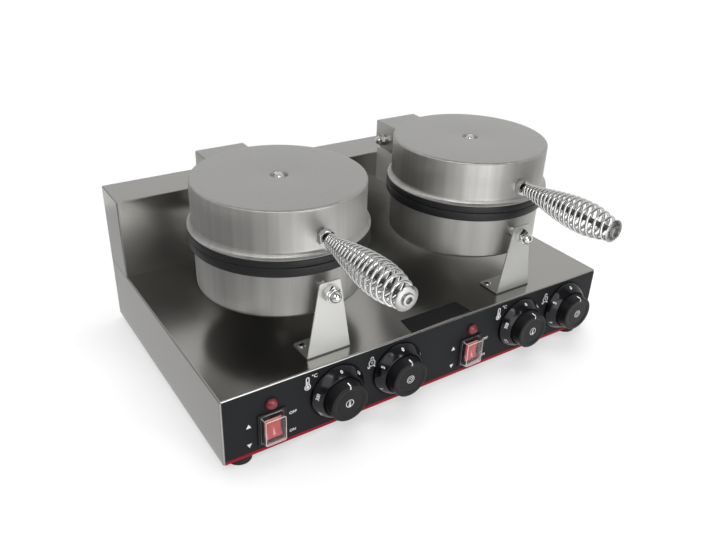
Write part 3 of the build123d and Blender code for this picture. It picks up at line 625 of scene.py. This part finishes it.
def add_irons():
    upper = lathe(upper_shell_outline(), 160)
    lower = lathe(lower_shell_outline(), 160)
    for side in SIDES:
        lid = side + "_lid"
        make(side + "_lid_skin", upper, spun[side], lid, iron(side, LID_TOP),
             [side + "_upper_shell"], flat=top_steel)
        make(side + "_pan_skin", lower, spun[side], "base", iron(side, PAN_BOTTOM),
             [side + "_lower_shell"])
        make(side + "_baking_plate_low", plate_part(), coating, "base",
             iron(side, PARTING - PLATE_GAP), [side + "_lower_plate"])
        flip = iron(side, PARTING + PLATE_GAP) @ turn(180, "X")
        make(side + "_baking_plate_top", plate_part(), coating, lid, flip,
             [side + "_upper_plate"])
        make(side + "_rim_top", rim_part(UPPER_RIM), coating, lid, flip,
             [side + "_upper_rim"])
        make(side + "_lid_bolt_bright", lid_bolt_part(), cap_chrome, lid,
             iron(side, LID_TOP - DIMPLE_DEPTH), [side + "_lid_bolt"])
    rims = [moved(rim_part(LOWER_RIM), iron(side, PARTING - PLATE_GAP)) for side in SIDES]
    make("rims_low", join(*rims), coating, "base", None, ["lower_rims"])


# ---------------------------------------------------------------- grips

WIRE = 3.4
SPRING_TURNS = 19
NECK_R, BELLY_R, TIP_R = 6.4, 17.5, 11.0
BELLY_AT = 0.70
SWELL = 1.35
PITCH_RATIO = 2.0
NECK_LEAD, NECK_RISE = -60.0, 4.4
TIP_LEAD, TIP_BEND_R, TIP_GAP = 28.0, 6.5, 1.9
TIP_SEAT_R = 3.05
END_PULL, END_STEPS = 8, 10
GRIP_START = -100.0
SPRING_LENGTH = 133.5
COIL_STEPS = 44
NUT_HEIGHT = 6.5


def spring_radius(share):
    if share < BELLY_AT:
        swell = max(0.0, math.sin(math.pi / 2 * share / BELLY_AT)) ** SWELL
        return NECK_R + (BELLY_R - NECK_R) * swell
    fall = 1 - math.cos(math.pi / 2 * (share - BELLY_AT) / (1 - BELLY_AT))
    return BELLY_R - (BELLY_R - TIP_R) * fall


def polar(radius, degrees, z):
    a = math.radians(degrees)
    return Vector((radius * math.cos(a), radius * math.sin(a), z))


def coil_point(t):
    """Point of the coil after t turns, with a pitch that grows towards the tip."""
    share = t / SPRING_TURNS
    along = (share + (PITCH_RATIO - 1) * share * share / 2) / (1 + (PITCH_RATIO - 1) / 2)
    end = SPRING_LENGTH - TIP_GAP - 0.5
    return polar(spring_radius(along), 360 * t, NECK_RISE + (end - NECK_RISE) * along)


def hermite(p0, m0, p1, m1):
    """Points between two ends that leave and arrive along given ways."""
    points = []
    for k in range(1, END_STEPS):
        t = k / END_STEPS
        points.append(p0 * (2 * t ** 3 - 3 * t * t + 1) + m0 * (t ** 3 - 2 * t * t + t)
                      + p1 * (3 * t * t - 2 * t ** 3) + m1 * (t ** 3 - t * t))
    return points


def spring_line():
    """The wire's middle line: straight in the nut's socket, wound, then turned in to the bolt."""
    up = Vector((0, 0, 1))
    coil = [coil_point(k / COIL_STEPS) for k in range(SPRING_TURNS * COIL_STEPS + 1)]
    mouth = polar(NECK_R, NECK_LEAD, 0)
    bent = polar(TIP_BEND_R, TIP_LEAD, SPRING_LENGTH - TIP_GAP)
    inward = polar(1, TIP_LEAD + 180, 0)
    start_way = (coil[1] - coil[0]).normalized()
    end_way = (coil[-1] - coil[-2]).normalized()
    line = [mouth - up * WIRE, mouth - up * WIRE / 2, mouth]
    line += hermite(mouth, up * END_PULL, coil[0], start_way * END_PULL)
    line += coil
    line += hermite(coil[-1], end_way * END_PULL, bent, inward * END_PULL)
    return line + [bent, bent + inward * (TIP_BEND_R - TIP_SEAT_R)]


def grip_end_outline():
    """Head of the grip's bolt: rounded flange, collar and a small well."""
    seat, head, tip = SPRING_LENGTH, SPRING_LENGTH + 2.0, GRIP_START - HANDLE_TIP
    flange = [(0, seat - 0.1), (12.3, seat - 0.1), (12.9, seat + 0.1), (12.6, seat + 0.5),
              (11.6, seat + 1.1), (10.4, seat + 1.6), (9.0, head), (6.6, head)]
    collar = [(6.5, head + 0.2), (6.5, tip - 0.9), *arc(5.6, tip - 0.9, 0.9, 0, 90, 5)]
    return flange + collar + [(3.6, tip), (3.3, tip - 0.4), (3.3, tip - 3.4), (0, tip - 3.4)]


def add_grips():
    wire = tube(spring_line(), WIRE / 2, 16)
    rod = lathe([(0, -14.5), (3, -14.5), (3, SPRING_LENGTH), (0, SPRING_LENGTH)], 32, closed=False)
    end = lathe(grip_end_outline(), 64, closed=False)
    for side in SIDES:
        lid = side + "_lid"
        place = shift(IRON_X[side], GRIP_START, HANDLE_Z) @ turn(90, "X")
        make(side + "_grip_coil", wire, wire_chrome, lid, place,
             [side + "_handle_spring"], COIL_EDGE)
        make(side + "_grip_nut", hexagon(17, NUT_HEIGHT), chrome, lid,
             place @ shift(0, 0, -NUT_HEIGHT), [side + "_handle_nut"])
        make(side + "_grip_end", end, end_steel, lid, place, [side + "_handle_bolt"])
        make(side + "_grip_rod", rod, dark_rod, lid, place)


# ---------------------------------------------------------------- hinge and support fasteners

HINGE_HALF = 33.0
WASHER_THICK = 1.6
HEX_NUT_DEPTH, CAP_NUT_DEPTH = 18, 10
SCREW_X, SCREW_DEPTH = 20, 43


def acorn(flats, hex_height, dome_r):
    """Cap nut: chamfered hexagon, washer face and dome."""
    z, r = hex_height, flats / 2
    dome = [(0, z - 1), (dome_r, z - 1), (dome_r, z), *arc(0, z, dome_r, 0, 90, 10)[1:]]
    face = [(0, 0), (r + 0.6, 0), (r + 0.9, 0.3), (r + 0.9, 0.9), (r + 0.6, 1.2), (0, 1.2)]
    return join(hexagon(flats, z), lathe(dome, 48, closed=False), lathe(face, 48, closed=False))


def washer_part(radius, thick):
    bore, edge = 4.0, 0.25
    return lathe([(bore, 0), (radius - edge, 0), (radius, edge), (radius, thick - edge),
                  (radius - edge, thick), (bore, thick)], 48)


def screw_head(radius, height, shank, length):
    """Domed screw head with a small well in its middle, and its shank."""
    dome = [(0, -length), (shank, -length), (shank, 0), (radius, 0), (radius, 0.3)]
    dome += [(radius * math.cos(a), 0.3 + (height - 0.3) * math.sin(a))
             for a in [math.radians(12 * k) for k in range(1, 7)]]
    dome += [(radius * 0.16, height), (radius * 0.12, height - 0.9), (0, height - 0.9)]
    return lathe(dome, 40, closed=False)


def cross_mark(reach, z):
    """Painted shade of a screw's cross recess: two dark bars on the head."""
    bar = prism([(-reach, -0.35), (reach, -0.35), (reach, 0.35), (-reach, 0.35)], z - 0.5, z)
    return join(moved(bar, turn(0, "Z")), moved(bar, turn(90, "Z")))


def add_fasteners():
    for side in SIDES:
        ends = []
        for sign in (-1, 1):
            place = shift(sign * HINGE_HALF, 0, 0) @ turn(90 * sign, "Y")
            ends.append(moved(washer_part(8, WASHER_THICK), place))
            ends.append(moved(acorn(13, 6.5, 5.8), place @ shift(0, 0, WASHER_THICK)))
        make(side + "_hinge_caps", join(*ends), chrome, side + "_lid",
             shift(IRON_X[side], HINGE_Y, HINGE_Z), [side + "_hinge_nuts"])
    nuts, heads, marks = [], [], []
    for side in SIDES:
        for nut, depth in ((hexagon(17, 8.0), HEX_NUT_DEPTH), (acorn(15, 2.4, 7.0), CAP_NUT_DEPTH)):
            place = shift(IRON_X[side], FRONT + depth, SUPPORT_BOLT_Z) @ turn(90, "X")
            nuts.append(moved(nut, place))
        for x in (-SCREW_X, SCREW_X):
            place = shift(IRON_X[side] + x, FRONT + SCREW_DEPTH, SHEET_TOP)
            heads.append(moved(screw_head(4.7, 2.6, 2.0, 1.4), place))
            marks.append(moved(cross_mark(2.0, 2.62), place @ turn(30 + 17 * x, "Z")))
    make("support_caps", join(*nuts), cap_chrome, "base", None, ["support_nuts"])
    make("foot_screws", join(*heads), chrome, "base", None, ["bracket_screws"])
    # dark bars: painted shade in the screws' cross recesses
    make("foot_screw_recess_shade", join(*marks), frame_plastic, "base", None)


# ---------------------------------------------------------------- flat marks

INK = 0.06


def stroke(points, width, closed=False):
    """A printed line of constant width along flat points."""
    n = len(points)
    verts = []
    for i, (x, y) in enumerate(points):
        before = points[i - 1] if (i or closed) else points[i]
        after = points[(i + 1) % n] if (i + 1 < n or closed) else points[i]
        way = Vector((after[0] - before[0], after[1] - before[1])).normalized()
        side = Vector((-way.y, way.x)) * width / 2
        verts += [(x + side.x, y + side.y, INK), (x - side.x, y - side.y, INK)]
    faces = []
    for i in range(n if closed else n - 1):
        j = (i + 1) % n
        faces.append((2 * i, 2 * i + 1, 2 * j + 1, 2 * j))
    return verts, faces


def filled(points):
    return [(x, y, INK) for x, y in points], [tuple(range(len(points)))]


def resized(part, scale):
    return [(x * scale, y * scale, z) for x, y, z in part[0]], part[1]


def thermometer_icon(scale):
    """Outline of a bulb thermometer with its column filled."""
    line = arc(0, -4.2, 2.6, 120, 420, 28) + [(1.3, 4.2), *arc(0, 4.4, 1.3, 0, 180, 10)]
    bulb = filled(circle(1.5, 20, -4.2))
    column = filled([(-0.4, -3.5), (0.4, -3.5), (0.4, 1.5), (-0.4, 1.5)])
    return resized(join(stroke(line, 0.95, True), bulb, column), scale)


def clock_icon(scale):
    """A dial with two hands."""
    hands = stroke([(0, 1.5), (0, 0), (1.1, -0.5)], 0.55)
    return resized(join(stroke(circle(2.4, 32), 0.55, True), hands), scale)


def kitchen_timer_icon():
    """A round timer with a knob on top, two feet and an arrow at its left."""
    return join(stroke(circle(3.6, 36), 0.8, True),
                stroke([(0, 0), (1.3, 1.4)], 0.6),
                filled(circle(0.8, 16)),
                stroke(arc(0, 5.3, 1.7, 200, -20, 18), 0.8),
                stroke([(-2.4, -3.4), (-4.1, -5.6)], 1.1),
                stroke([(2.4, -3.4), (4.1, -5.6)], 1.1),
                stroke([(-5.0, -3.0), (-4.2, -5.8), (-1.6, -5.4)], 0.7))


def word_part(text, size):
    """Flat letters of the built-in font."""
    data = bpy.data.curves.new("letters", "FONT")
    data.body = text
    data.size = size
    data.align_x = "CENTER"
    data.align_y = "CENTER"
    data.resolution_u = 3
    data.offset = 0.12
    holder = new_object("letters", data)
    bpy.context.view_layer.update()
    flat = holder.evaluated_get(bpy.context.evaluated_depsgraph_get())
    mesh = bpy.data.meshes.new_from_object(flat)
    part = ([(v.co.x, v.co.y, INK) for v in mesh.vertices],
            [tuple(p.vertices) for p in mesh.polygons])
    bpy.data.objects.remove(holder)
    bpy.data.curves.remove(data)
    bpy.data.meshes.remove(mesh)
    return part


# ---------------------------------------------------------------- controls

KNOB_FACE = 26.83
CONE_R, CONE_Z = 30.3, 8.75
CONE_SLOPE = math.degrees(math.atan2(9.6, 6.6))


def knob_outline():
    outer = [(0, 3), (24.0, 3), (24.3, 3.4), (24.3, 14), (23.2, 26.0),
             *arc(22.0, 26.1, 1.2, 0, 88, 6)]
    return outer + [(17.6, 27.3), (17.0, 27.1), (16.6, 26.8), (0, 26.8)]


def dial_outline():
    return [(25.2, 0), (33.6, 0), (34, 0.4), (34, 3.1), (33.6, 3.9), (27.0, 13.5), (26.2, 14.0),
            (25.5, 14.0), (25.2, 13.7)]


def pointer_part():
    """White dash over the knob's front edge and down its side."""
    rows = [(19.0, 27.45), (22.3, 27.42), (23.45, 26.2), (23.9, 21.0)]
    (a, b), (c, d), (e, f), (g, h) = rows
    dash = [(-0.75, a, b), (0.75, a, b), (0.75, c, d), (-0.75, c, d),
            (0.75, e, f), (-0.75, e, f), (0.75, g, h), (-0.75, g, h)]
    return dash, [(0, 1, 2, 3), (3, 2, 4, 5), (5, 4, 6, 7)]


def add_controls():
    for side in SIDES:
        for kind, offset in CONTROLS.items():
            name = side + "_" + kind
            body = name + "_control"
            place = out_of_panel(IRON_X[side] + offset, CONTROL_Z)
            make(name + "_grip", lathe(knob_outline(), 112, closed=False), knob_plastic, body,
                 place, [name + "_knob"], SHARP_EDGE)
            make(name + "_pointer", pointer_part(), print_white, body, place)
            icon = thermometer_icon(0.58) if kind == "thermostat" else clock_icon(1.15)
            make(name + "_badge", join(stroke(circle(4.7), 0.75, True), icon), print_white, body,
                 place @ shift(0, 0, KNOB_FACE))
    for kind, offset in CONTROLS.items():
        rings = [moved(lathe(dial_outline(), 112), out_of_panel(IRON_X[side] + offset, CONTROL_Z))
                 for side in SIDES]
        make(kind + "_scale_rings", join(*rings), dial_plastic, "base", None,
             [kind + "_dials"], SHARP_EDGE)


# ---------------------------------------------------------------- switches and lamps

ROCKER_AXIS = -3
ROCKER_TILT = -7.5
ROCKER_EDGE = 25.0


def switch_frame_part():
    """Bezel with a softened edge and a raised lip, hollow box behind it, and three tabs."""
    rows = [(28, 35, 1, -22), (28, 35, 1, 0), (34, 41, 1.5, 0), (34, 41, 1.5, 1.2),
            (33.5, 40.5, 1.5, 1.8), (32.6, 39.6, 1.5, 2.0), (29.0, 37.0, 2.5, 2.0),
            (28.8, 36.8, 2.5, 1.5), (24.2, 32.2, 1.6, 1.5), (24.0, 32.0, 1.6, 6.0),
            (21.4, 31.2, 0.9, 6.0), (21, 31, 0.8, 5.6), (21, 31, 0.8, 1.4), (20, 30, 0.5, 0.9),
            (20, 30, 0.5, -19)]
    parts = [layered([(rounded_outline(w, h, r, 5), z) for w, h, r, z in rows])]
    for x in (-8, 0, 8):
        tab = [(x - 0.4, -3), (x + 0.4, -3), (x + 0.4, 3), (x - 0.4, 3)]
        parts.append(prism(tab, -30, -21))
    return join(*parts)


def cover_part():
    """Thin clear cover, drawn in towards its face, open at the back."""
    rows = [(21.6, 29.6, 1.6, 10.1), (22.8, 30.8, 1.8, 9.9), (23.5, 31.5, 1.8, 9.2),
            (25.9, 33.9, 1.8, 2.05), (28.0, 36.0, 2.5, 2.05), (25.3, 33.3, 2.5, 9.8),
            (24.9, 32.9, 2.4, 10.6), (24.0, 32.0, 2.2, 11.0)]
    return layered([(rounded_outline(w, h, r, 5), z) for w, h, r, z in rows])


def cover_edges():
    """Painted highlights: milky tubes along the cover's face edge and three corners, where the
    clear edges catch the light.
    """
    loop = [(x, y, 10.5) for x, y in rounded_outline(23.6, 31.6, 2.0, 4)]
    parts = [tube(loop + loop[:2], 0.42, 8)]
    for sx, sy in ((-1, 1), (-1, -1), (1, -1)):
        parts.append(tube([(sx * 13.1, sy * 17.1, 2.4), (sx * 11.5, sy * 15.5, 10.4)], 0.3, 8))
    return join(*parts)


def rocker_part():
    """Two slanted faces that meet in a valley, and round ends."""
    reach, top, low, valley, end_r = 11.53, 8.8, 13.61, 6.3, 14.5
    middle = (top + valley) / 2 - 0.25
    face = [(-reach, top), (-reach * 0.5, middle), (0, valley), (reach * 0.5, middle)]
    start, end = math.degrees(math.atan2(top, reach)), math.degrees(math.atan2(-5, low))
    outline = face + arc(0, 0, end_r, start, end, 8)
    outline += arc(0, 0, end_r, 180 - end, 180 - start, 8)[:-1]
    rows = [(-9.5, 0.94), (-9.1, 1.0), (9.1, 1.0), (9.5, 0.94)]
    verts = [(x, y * f, z * f) for x, f in rows for y, z in outline]
    walls, caps = ring_faces(len(rows), len(outline))
    return verts, caps + walls


def rocker_lines():
    """Painted highlights in pale red: tubes along the rocker's top and left edges, and the narrow
    raised wedge on its lower face.
    """
    top = tube([(-9.2, 11.4, 8.75), (9.2, 11.4, 8.75)], 0.6, 8)
    left = tube([(-9.3, 11.2, 8.6), (-9.3, 0, 6.1), (-9.3, -11.2, 8.6)], 0.4, 8)
    wedge = [(-1.6, -8.6, 8.0), (0, 0.8, 6.3), (1.6, -8.6, 8.0),
             (-1.6, -8.6, 8.5), (0, 0.8, 6.7), (1.6, -8.6, 8.5)]
    faces = [(2, 1, 0), (3, 4, 5), (0, 1, 4, 3), (1, 2, 5, 4), (2, 0, 3, 5)]
    return join(top, left, (wedge, faces))


def lamp_collar():
    return lathe([(0, -25), (5.3, -25), (5.3, -5), (6.3, -5), (6.3, 0), (7.5, 0), (7.5, 0.8),
                  (7.2, 1.2), (5.9, 1.2), (5.7, 0.9), (5.7, -4), (0, -4)], 56, closed=False)


def lamp_dome():
    """Lens with a thin flange over the collar."""
    radius, foot, height = 6.6, 2.3, 3.9
    lens = [(0, -3.8), (5.6, -3.8), (5.6, 1.2), (6.9, 1.25), (7.05, 1.7), (6.9, 2.2)]
    for k in range(1, 11):
        a = math.radians(9 * k)
        lens.append((radius * math.cos(a), foot + height * math.sin(a)))
    return lathe(lens, 56, closed=False)


def add_switches():
    switches = {side: out_of_panel(IRON_X[side] + SWITCH_OFFSET, SWITCH_Z) for side in SIDES}
    lamps = [out_of_panel(IRON_X[side] + SWITCH_OFFSET, LAMP_Z) for side in SIDES]
    for side, place in switches.items():
        tilted = place @ shift(0, 0, ROCKER_AXIS) @ turn(ROCKER_TILT, "X")
        make(side + "_rocker_cap", rocker_part(), red_rocker, side + "_switch", tilted,
             [side + "_switch_rocker"], ROCKER_EDGE)
        make(side + "_rocker_highlights", rocker_lines(), highlight_red, side + "_switch", tilted)

    def both(part, places):
        return join(*[moved(part, place) for place in places])

    fronts = switches.values()
    make("switch_bezels", both(switch_frame_part(), fronts), frame_plastic, "base", None,
         ["switch_frames"], SHARP_EDGE)
    make("splash_covers", both(cover_part(), fronts), cover_skin, "base", None,
         ["switch_covers"], SHARP_EDGE)
    make("splash_cover_highlights", both(cover_edges(), fronts), highlight_milky, "base", None)
    make("lamp_collars", both(lamp_collar(), lamps), frame_plastic, "base", None,
         ["lamp_bodies"])
    make("lamp_domes", both(lamp_dome(), lamps), red_lens, "base", None,
         ["lamp_lenses"])


# ---------------------------------------------------------------- printed marks and plate

def on_cone(part, degrees):
    """Lay a mark on the dial ring's cone, its top outwards, at an angle clockwise from the top."""
    place = turn(-degrees, "Z") @ shift(0, CONE_R, CONE_Z) @ turn(-CONE_SLOPE, "X")
    return moved(part, place @ shift(0, 0, 0.02))


def triangle(sign):
    """Solid arrowhead, up for 1 and down for -1."""
    return filled([(-3.0, -2.4 * sign), (3.0, -2.4 * sign), (0, 3.0 * sign)])


THERMOSTAT_SWEEP, THERMOSTAT_STEPS, DEGREE_STEP = 285, 6, 50
TIMER_STEP, TIMER_NUMBERS = 60, 6
TIMER_SIGN_X, TIMER_SIGN_Z, TIMER_SIGN_SCALE = 45.9, 64.6, 1.12


def add_marks():
    """Signs beside the switches and controls, and the numbers on the scale rings."""
    panel_signs = [
        (triangle(1), -107.6, 40.4), (triangle(-1), -107.6, 14.5),
        (word_part("OFF", 5.2), -55.3, 37.7), (word_part("ON", 5.0), -55.9, 13.3),
        (thermometer_icon(1.28), -37.2, 69.0), (word_part("°C", 6.6), -28.6, 75.5)]
    marks = []
    for x in IRON_X.values():
        for part, dx, z in panel_signs:
            marks.append(moved(part, out_of_panel(x + dx, FOOT + z)))
        sign_place = out_of_panel(x + TIMER_SIGN_X, FOOT + TIMER_SIGN_Z)
        marks.append(moved(kitchen_timer_icon(), sign_place @ Matrix.Scale(TIMER_SIGN_SCALE, 4)))
        for k in range(THERMOSTAT_STEPS + 1):
            number = on_cone(word_part(str(DEGREE_STEP * k), 5.4),
                             THERMOSTAT_SWEEP / THERMOSTAT_STEPS * k)
            marks.append(moved(number, out_of_panel(x, CONTROL_Z)))
        for k in range(TIMER_NUMBERS):
            number = on_cone(word_part(str(k), 6.4), TIMER_STEP * k)
            marks.append(moved(number, out_of_panel(x + CONTROLS["timer"], CONTROL_Z)))
    make("printed_marks", join(*marks), print_white, "base", None)


def add_blank_plate():
    """Bare black plate on the deck behind the panel; its corners count from the left and front."""
    corners = [(244, 30.5), (240.5, 3.2), (331, 6), (329, 31)]
    outline = [(x - WIDTH / 2, y + FRONT) for x, y in corners]
    make("blank_plate", prism(outline, DECK + 0.02, DECK + 0.5), film_plain, "base", None,
         bevel=0.15)


add_irons()
add_grips()
add_fasteners()
add_controls()
add_switches()
add_marks()
add_blank_plate()


# ---------------------------------------------------------------- studio, in metres

CARD_LIFT = 0.003
TENT_R = 5.6
GROUND_HALF = 6.0
FROM_CAMERA_SIDE = (-0.56, -0.83, 0.0)
ROOM_PALE, ROOM_DARK = 0.80, 0.14
AZIMUTH, ELEVATION, ROLL = -0.5984176508738559, 0.5071994549053737, 0.03881680697838456
CAMERA_MM = (-207.33446 - WIDTH / 2, -537.99479 + FRONT, 552.81061 + FOOT)


def bare_tree(owner):
    """Node tree of a material or world, emptied."""
    owner.use_nodes = True
    owner.node_tree.nodes.clear()
    return owner.node_tree


def seen_rays(tree):
    """1 for camera, glossy and transmission rays, 0 for the rest."""
    rays = tree.nodes.new("ShaderNodeLightPath")
    total = rays.outputs["Is Camera Ray"]
    for kind in ("Is Glossy Ray", "Is Transmission Ray"):
        total = calculate(tree, "MAXIMUM", total, rays.outputs[kind])
    return total


def room_level(tree, direction):
    """Pale behind the object, darker towards the camera's side of the room."""
    dot = tree.nodes.new("ShaderNodeVectorMath")
    dot.operation = "DOT_PRODUCT"
    dot.inputs[1].default_value = FROM_CAMERA_SIDE
    tree.links.new(direction, dot.inputs[0])
    return ramp(tree, dot.outputs["Value"], ROOM_PALE, ROOM_DARK, -0.25, 0.45)


def ground_material():
    """White ground that keeps the object's shadow, as white in metal and glass as to the eye."""
    material = bpy.data.materials.new("stage_white")
    tree = bare_tree(material)
    out = tree.nodes.new("ShaderNodeOutputMaterial")
    diffuse = tree.nodes.new("ShaderNodeBsdfDiffuse")
    diffuse.inputs["Color"].default_value = (0.5, 0.5, 0.5, 1)
    glow = tree.nodes.new("ShaderNodeEmission")
    away = tree.nodes.new("ShaderNodeVectorMath")
    away.operation = "LENGTH"
    tree.links.new(object_space(tree), away.inputs[0])
    tree.links.new(ramp(tree, away.outputs["Value"], 0.46, 0.74, 0.8, 2.6),
                   glow.inputs["Strength"])
    both = tree.nodes.new("ShaderNodeAddShader")
    tree.links.new(diffuse.outputs[0], both.inputs[0])
    tree.links.new(glow.outputs[0], both.inputs[1])
    mix = tree.nodes.new("ShaderNodeMixShader")
    tree.links.new(seen_rays(tree), mix.inputs["Fac"])
    tree.links.new(diffuse.outputs[0], mix.inputs[1])
    tree.links.new(both.outputs[0], mix.inputs[2])
    tree.links.new(mix.outputs[0], out.inputs["Surface"])
    return material


def ground():
    s = GROUND_HALF
    mesh = bpy.data.meshes.new("ground")
    mesh.from_pydata([(-s, -s, 0), (s, -s, 0), (s, s, 0), (-s, s, 0)], [], [(0, 1, 2, 3)])
    mesh.materials.append(ground_material())
    new_object("ground", mesh)


def gloss_only(name, verts, faces, shade):
    """A piece of studio gear that only shows in gloss; shade sets or links its glow."""
    mesh = bpy.data.meshes.new(name)
    mesh.from_pydata(verts, [], faces)
    material = bpy.data.materials.new(name)
    tree = bare_tree(material)
    out = tree.nodes.new("ShaderNodeOutputMaterial")
    glow = tree.nodes.new("ShaderNodeEmission")
    tree.links.new(glow.outputs[0], out.inputs["Surface"])
    shade(tree, glow.inputs["Strength"])
    mesh.materials.append(material)
    piece = new_object(name, mesh)
    piece.visible_camera = False
    piece.visible_diffuse = False
    piece.visible_transmission = False
    piece.visible_shadow = False


def card(name, level, corners):
    def even(tree, socket):
        socket.default_value = level

    gloss_only(name, corners, [tuple(range(len(corners)))], even)


def upright(start, end, low, high):
    """Corners of a card that stands over a line on the floor."""
    return [(*start, low), (*end, low), (*end, high), (*start, high)]


def lying(*corners):
    """Corners of a card just over the floor."""
    return [(x, y, CARD_LIFT) for x, y in corners]


def cards():
    """Levels that the metal shows: left of the base, in front of it, overhead and at the right."""
    card("left_card", 0.34, upright((-0.44, -0.3), (-0.44, 0.9), 0, 0.17))
    card("left_high", 0.5, upright((-0.46, -0.3), (-0.46, 0.9), 0.17, 0.65))
    card("side_card", 0.62, lying((-0.44, -0.12), (-0.278, -0.12), (-0.278, 0.6), (-0.44, 0.6)))
    card("near_card", 0.75, lying((-1.7, -0.9), (-0.1, -1.9), (0.07, -0.48), (-0.53, -0.11)))
    card("front_card", 2.7, upright((-0.24, -0.5), (0.10, -0.5), 0.01, 0.32))
    card("sky_card", 1.8, [(-1.74, -0.43, 0.65), (-0.90, -1.55, 0.65),
                           (-0.41, -1.18, 1.44), (-1.25, -0.06, 1.44)])
    card("right_near", 0.14, upright((0.17, -0.48), (0.40, -0.355), 0.004, 0.6))
    card("right_far", 0.75, upright((0.40, -0.355), (0.75, -0.16), 0.004, 0.6))


def dark_tent():
    """Half a sphere round the set that dims the camera's side in gloss."""
    def shade(tree, socket):
        unit = tree.nodes.new("ShaderNodeVectorMath")
        unit.operation = "NORMALIZE"
        tree.links.new(object_space(tree), unit.inputs[0])
        tree.links.new(room_level(tree, unit.outputs["Vector"]), socket)

    profile = arc(0, 0, TENT_R, 0, 82.5, 11) + [(0, TENT_R)]
    gloss_only("dark_tent", *lathe(profile, 48, closed=False), shade)


def studio_world():
    """White to the eye, in metal and in glass; its light comes mostly from behind the object."""
    world = bpy.data.worlds.new("studio")
    bpy.context.scene.world = world
    tree = bare_tree(world)
    out = tree.nodes.new("ShaderNodeOutputWorld")
    room = tree.nodes.new("ShaderNodeBackground")
    room.inputs["Color"].default_value = (1, 1, 1, 1)
    place = tree.nodes.new("ShaderNodeTexCoord")
    level = room_level(tree, place.outputs["Generated"])
    tree.links.new(calculate(tree, "MAXIMUM", level, seen_rays(tree)), room.inputs["Strength"])
    tree.links.new(room.outputs[0], out.inputs["Surface"])


def area(name, place, target, size, power, gloss=True):
    data = bpy.data.lights.new(name, "AREA")
    data.shape = "RECTANGLE"
    data.size, data.size_y = size
    data.energy = power
    lamp = new_object(name, data)
    lamp.location = place
    lamp.visible_glossy = gloss
    way = Vector(target) - Vector(place)
    lamp.rotation_euler = way.to_track_quat("-Z", "Y").to_euler()


def camera():
    """Camera fitted to the edges of the photo."""
    data = bpy.data.cameras.new("camera")
    data.sensor_fit = "HORIZONTAL"
    data.sensor_width = 36.0
    data.lens = 36.562
    data.clip_end = 50.0
    level = math.cos(ELEVATION)
    ahead = Vector((-math.sin(AZIMUTH) * level, math.cos(AZIMUTH) * level, -math.sin(ELEVATION)))
    right = Vector((math.cos(AZIMUTH), math.sin(AZIMUTH), 0.0))
    up = right.cross(ahead)
    c, s = math.cos(ROLL), math.sin(ROLL)
    right, up = right * c + up * s, up * c - right * s
    view = Matrix((right, up, -ahead)).transposed().to_4x4()
    view.translation = Vector(CAMERA_MM) * MM
    cam = new_object("camera", data)
    cam.matrix_world = view
    bpy.context.scene.camera = cam


ground()
cards()
dark_tent()
studio_world()
camera()
area("key", (-1.1, -1.3, 1.9), (0, 0, 0.15), (1.2, 0.9), 26)
area("front_strip", (0.45, -1.9, 0.9), (0, 0, 0.2), (0.35, 1.6), 14)
area("top", (0.2, 0.3, 2.2), (0, 0, 0.1), (1.6, 1.2), 22, gloss=False)

bpy.context.scene.view_settings.view_transform = "Standard"
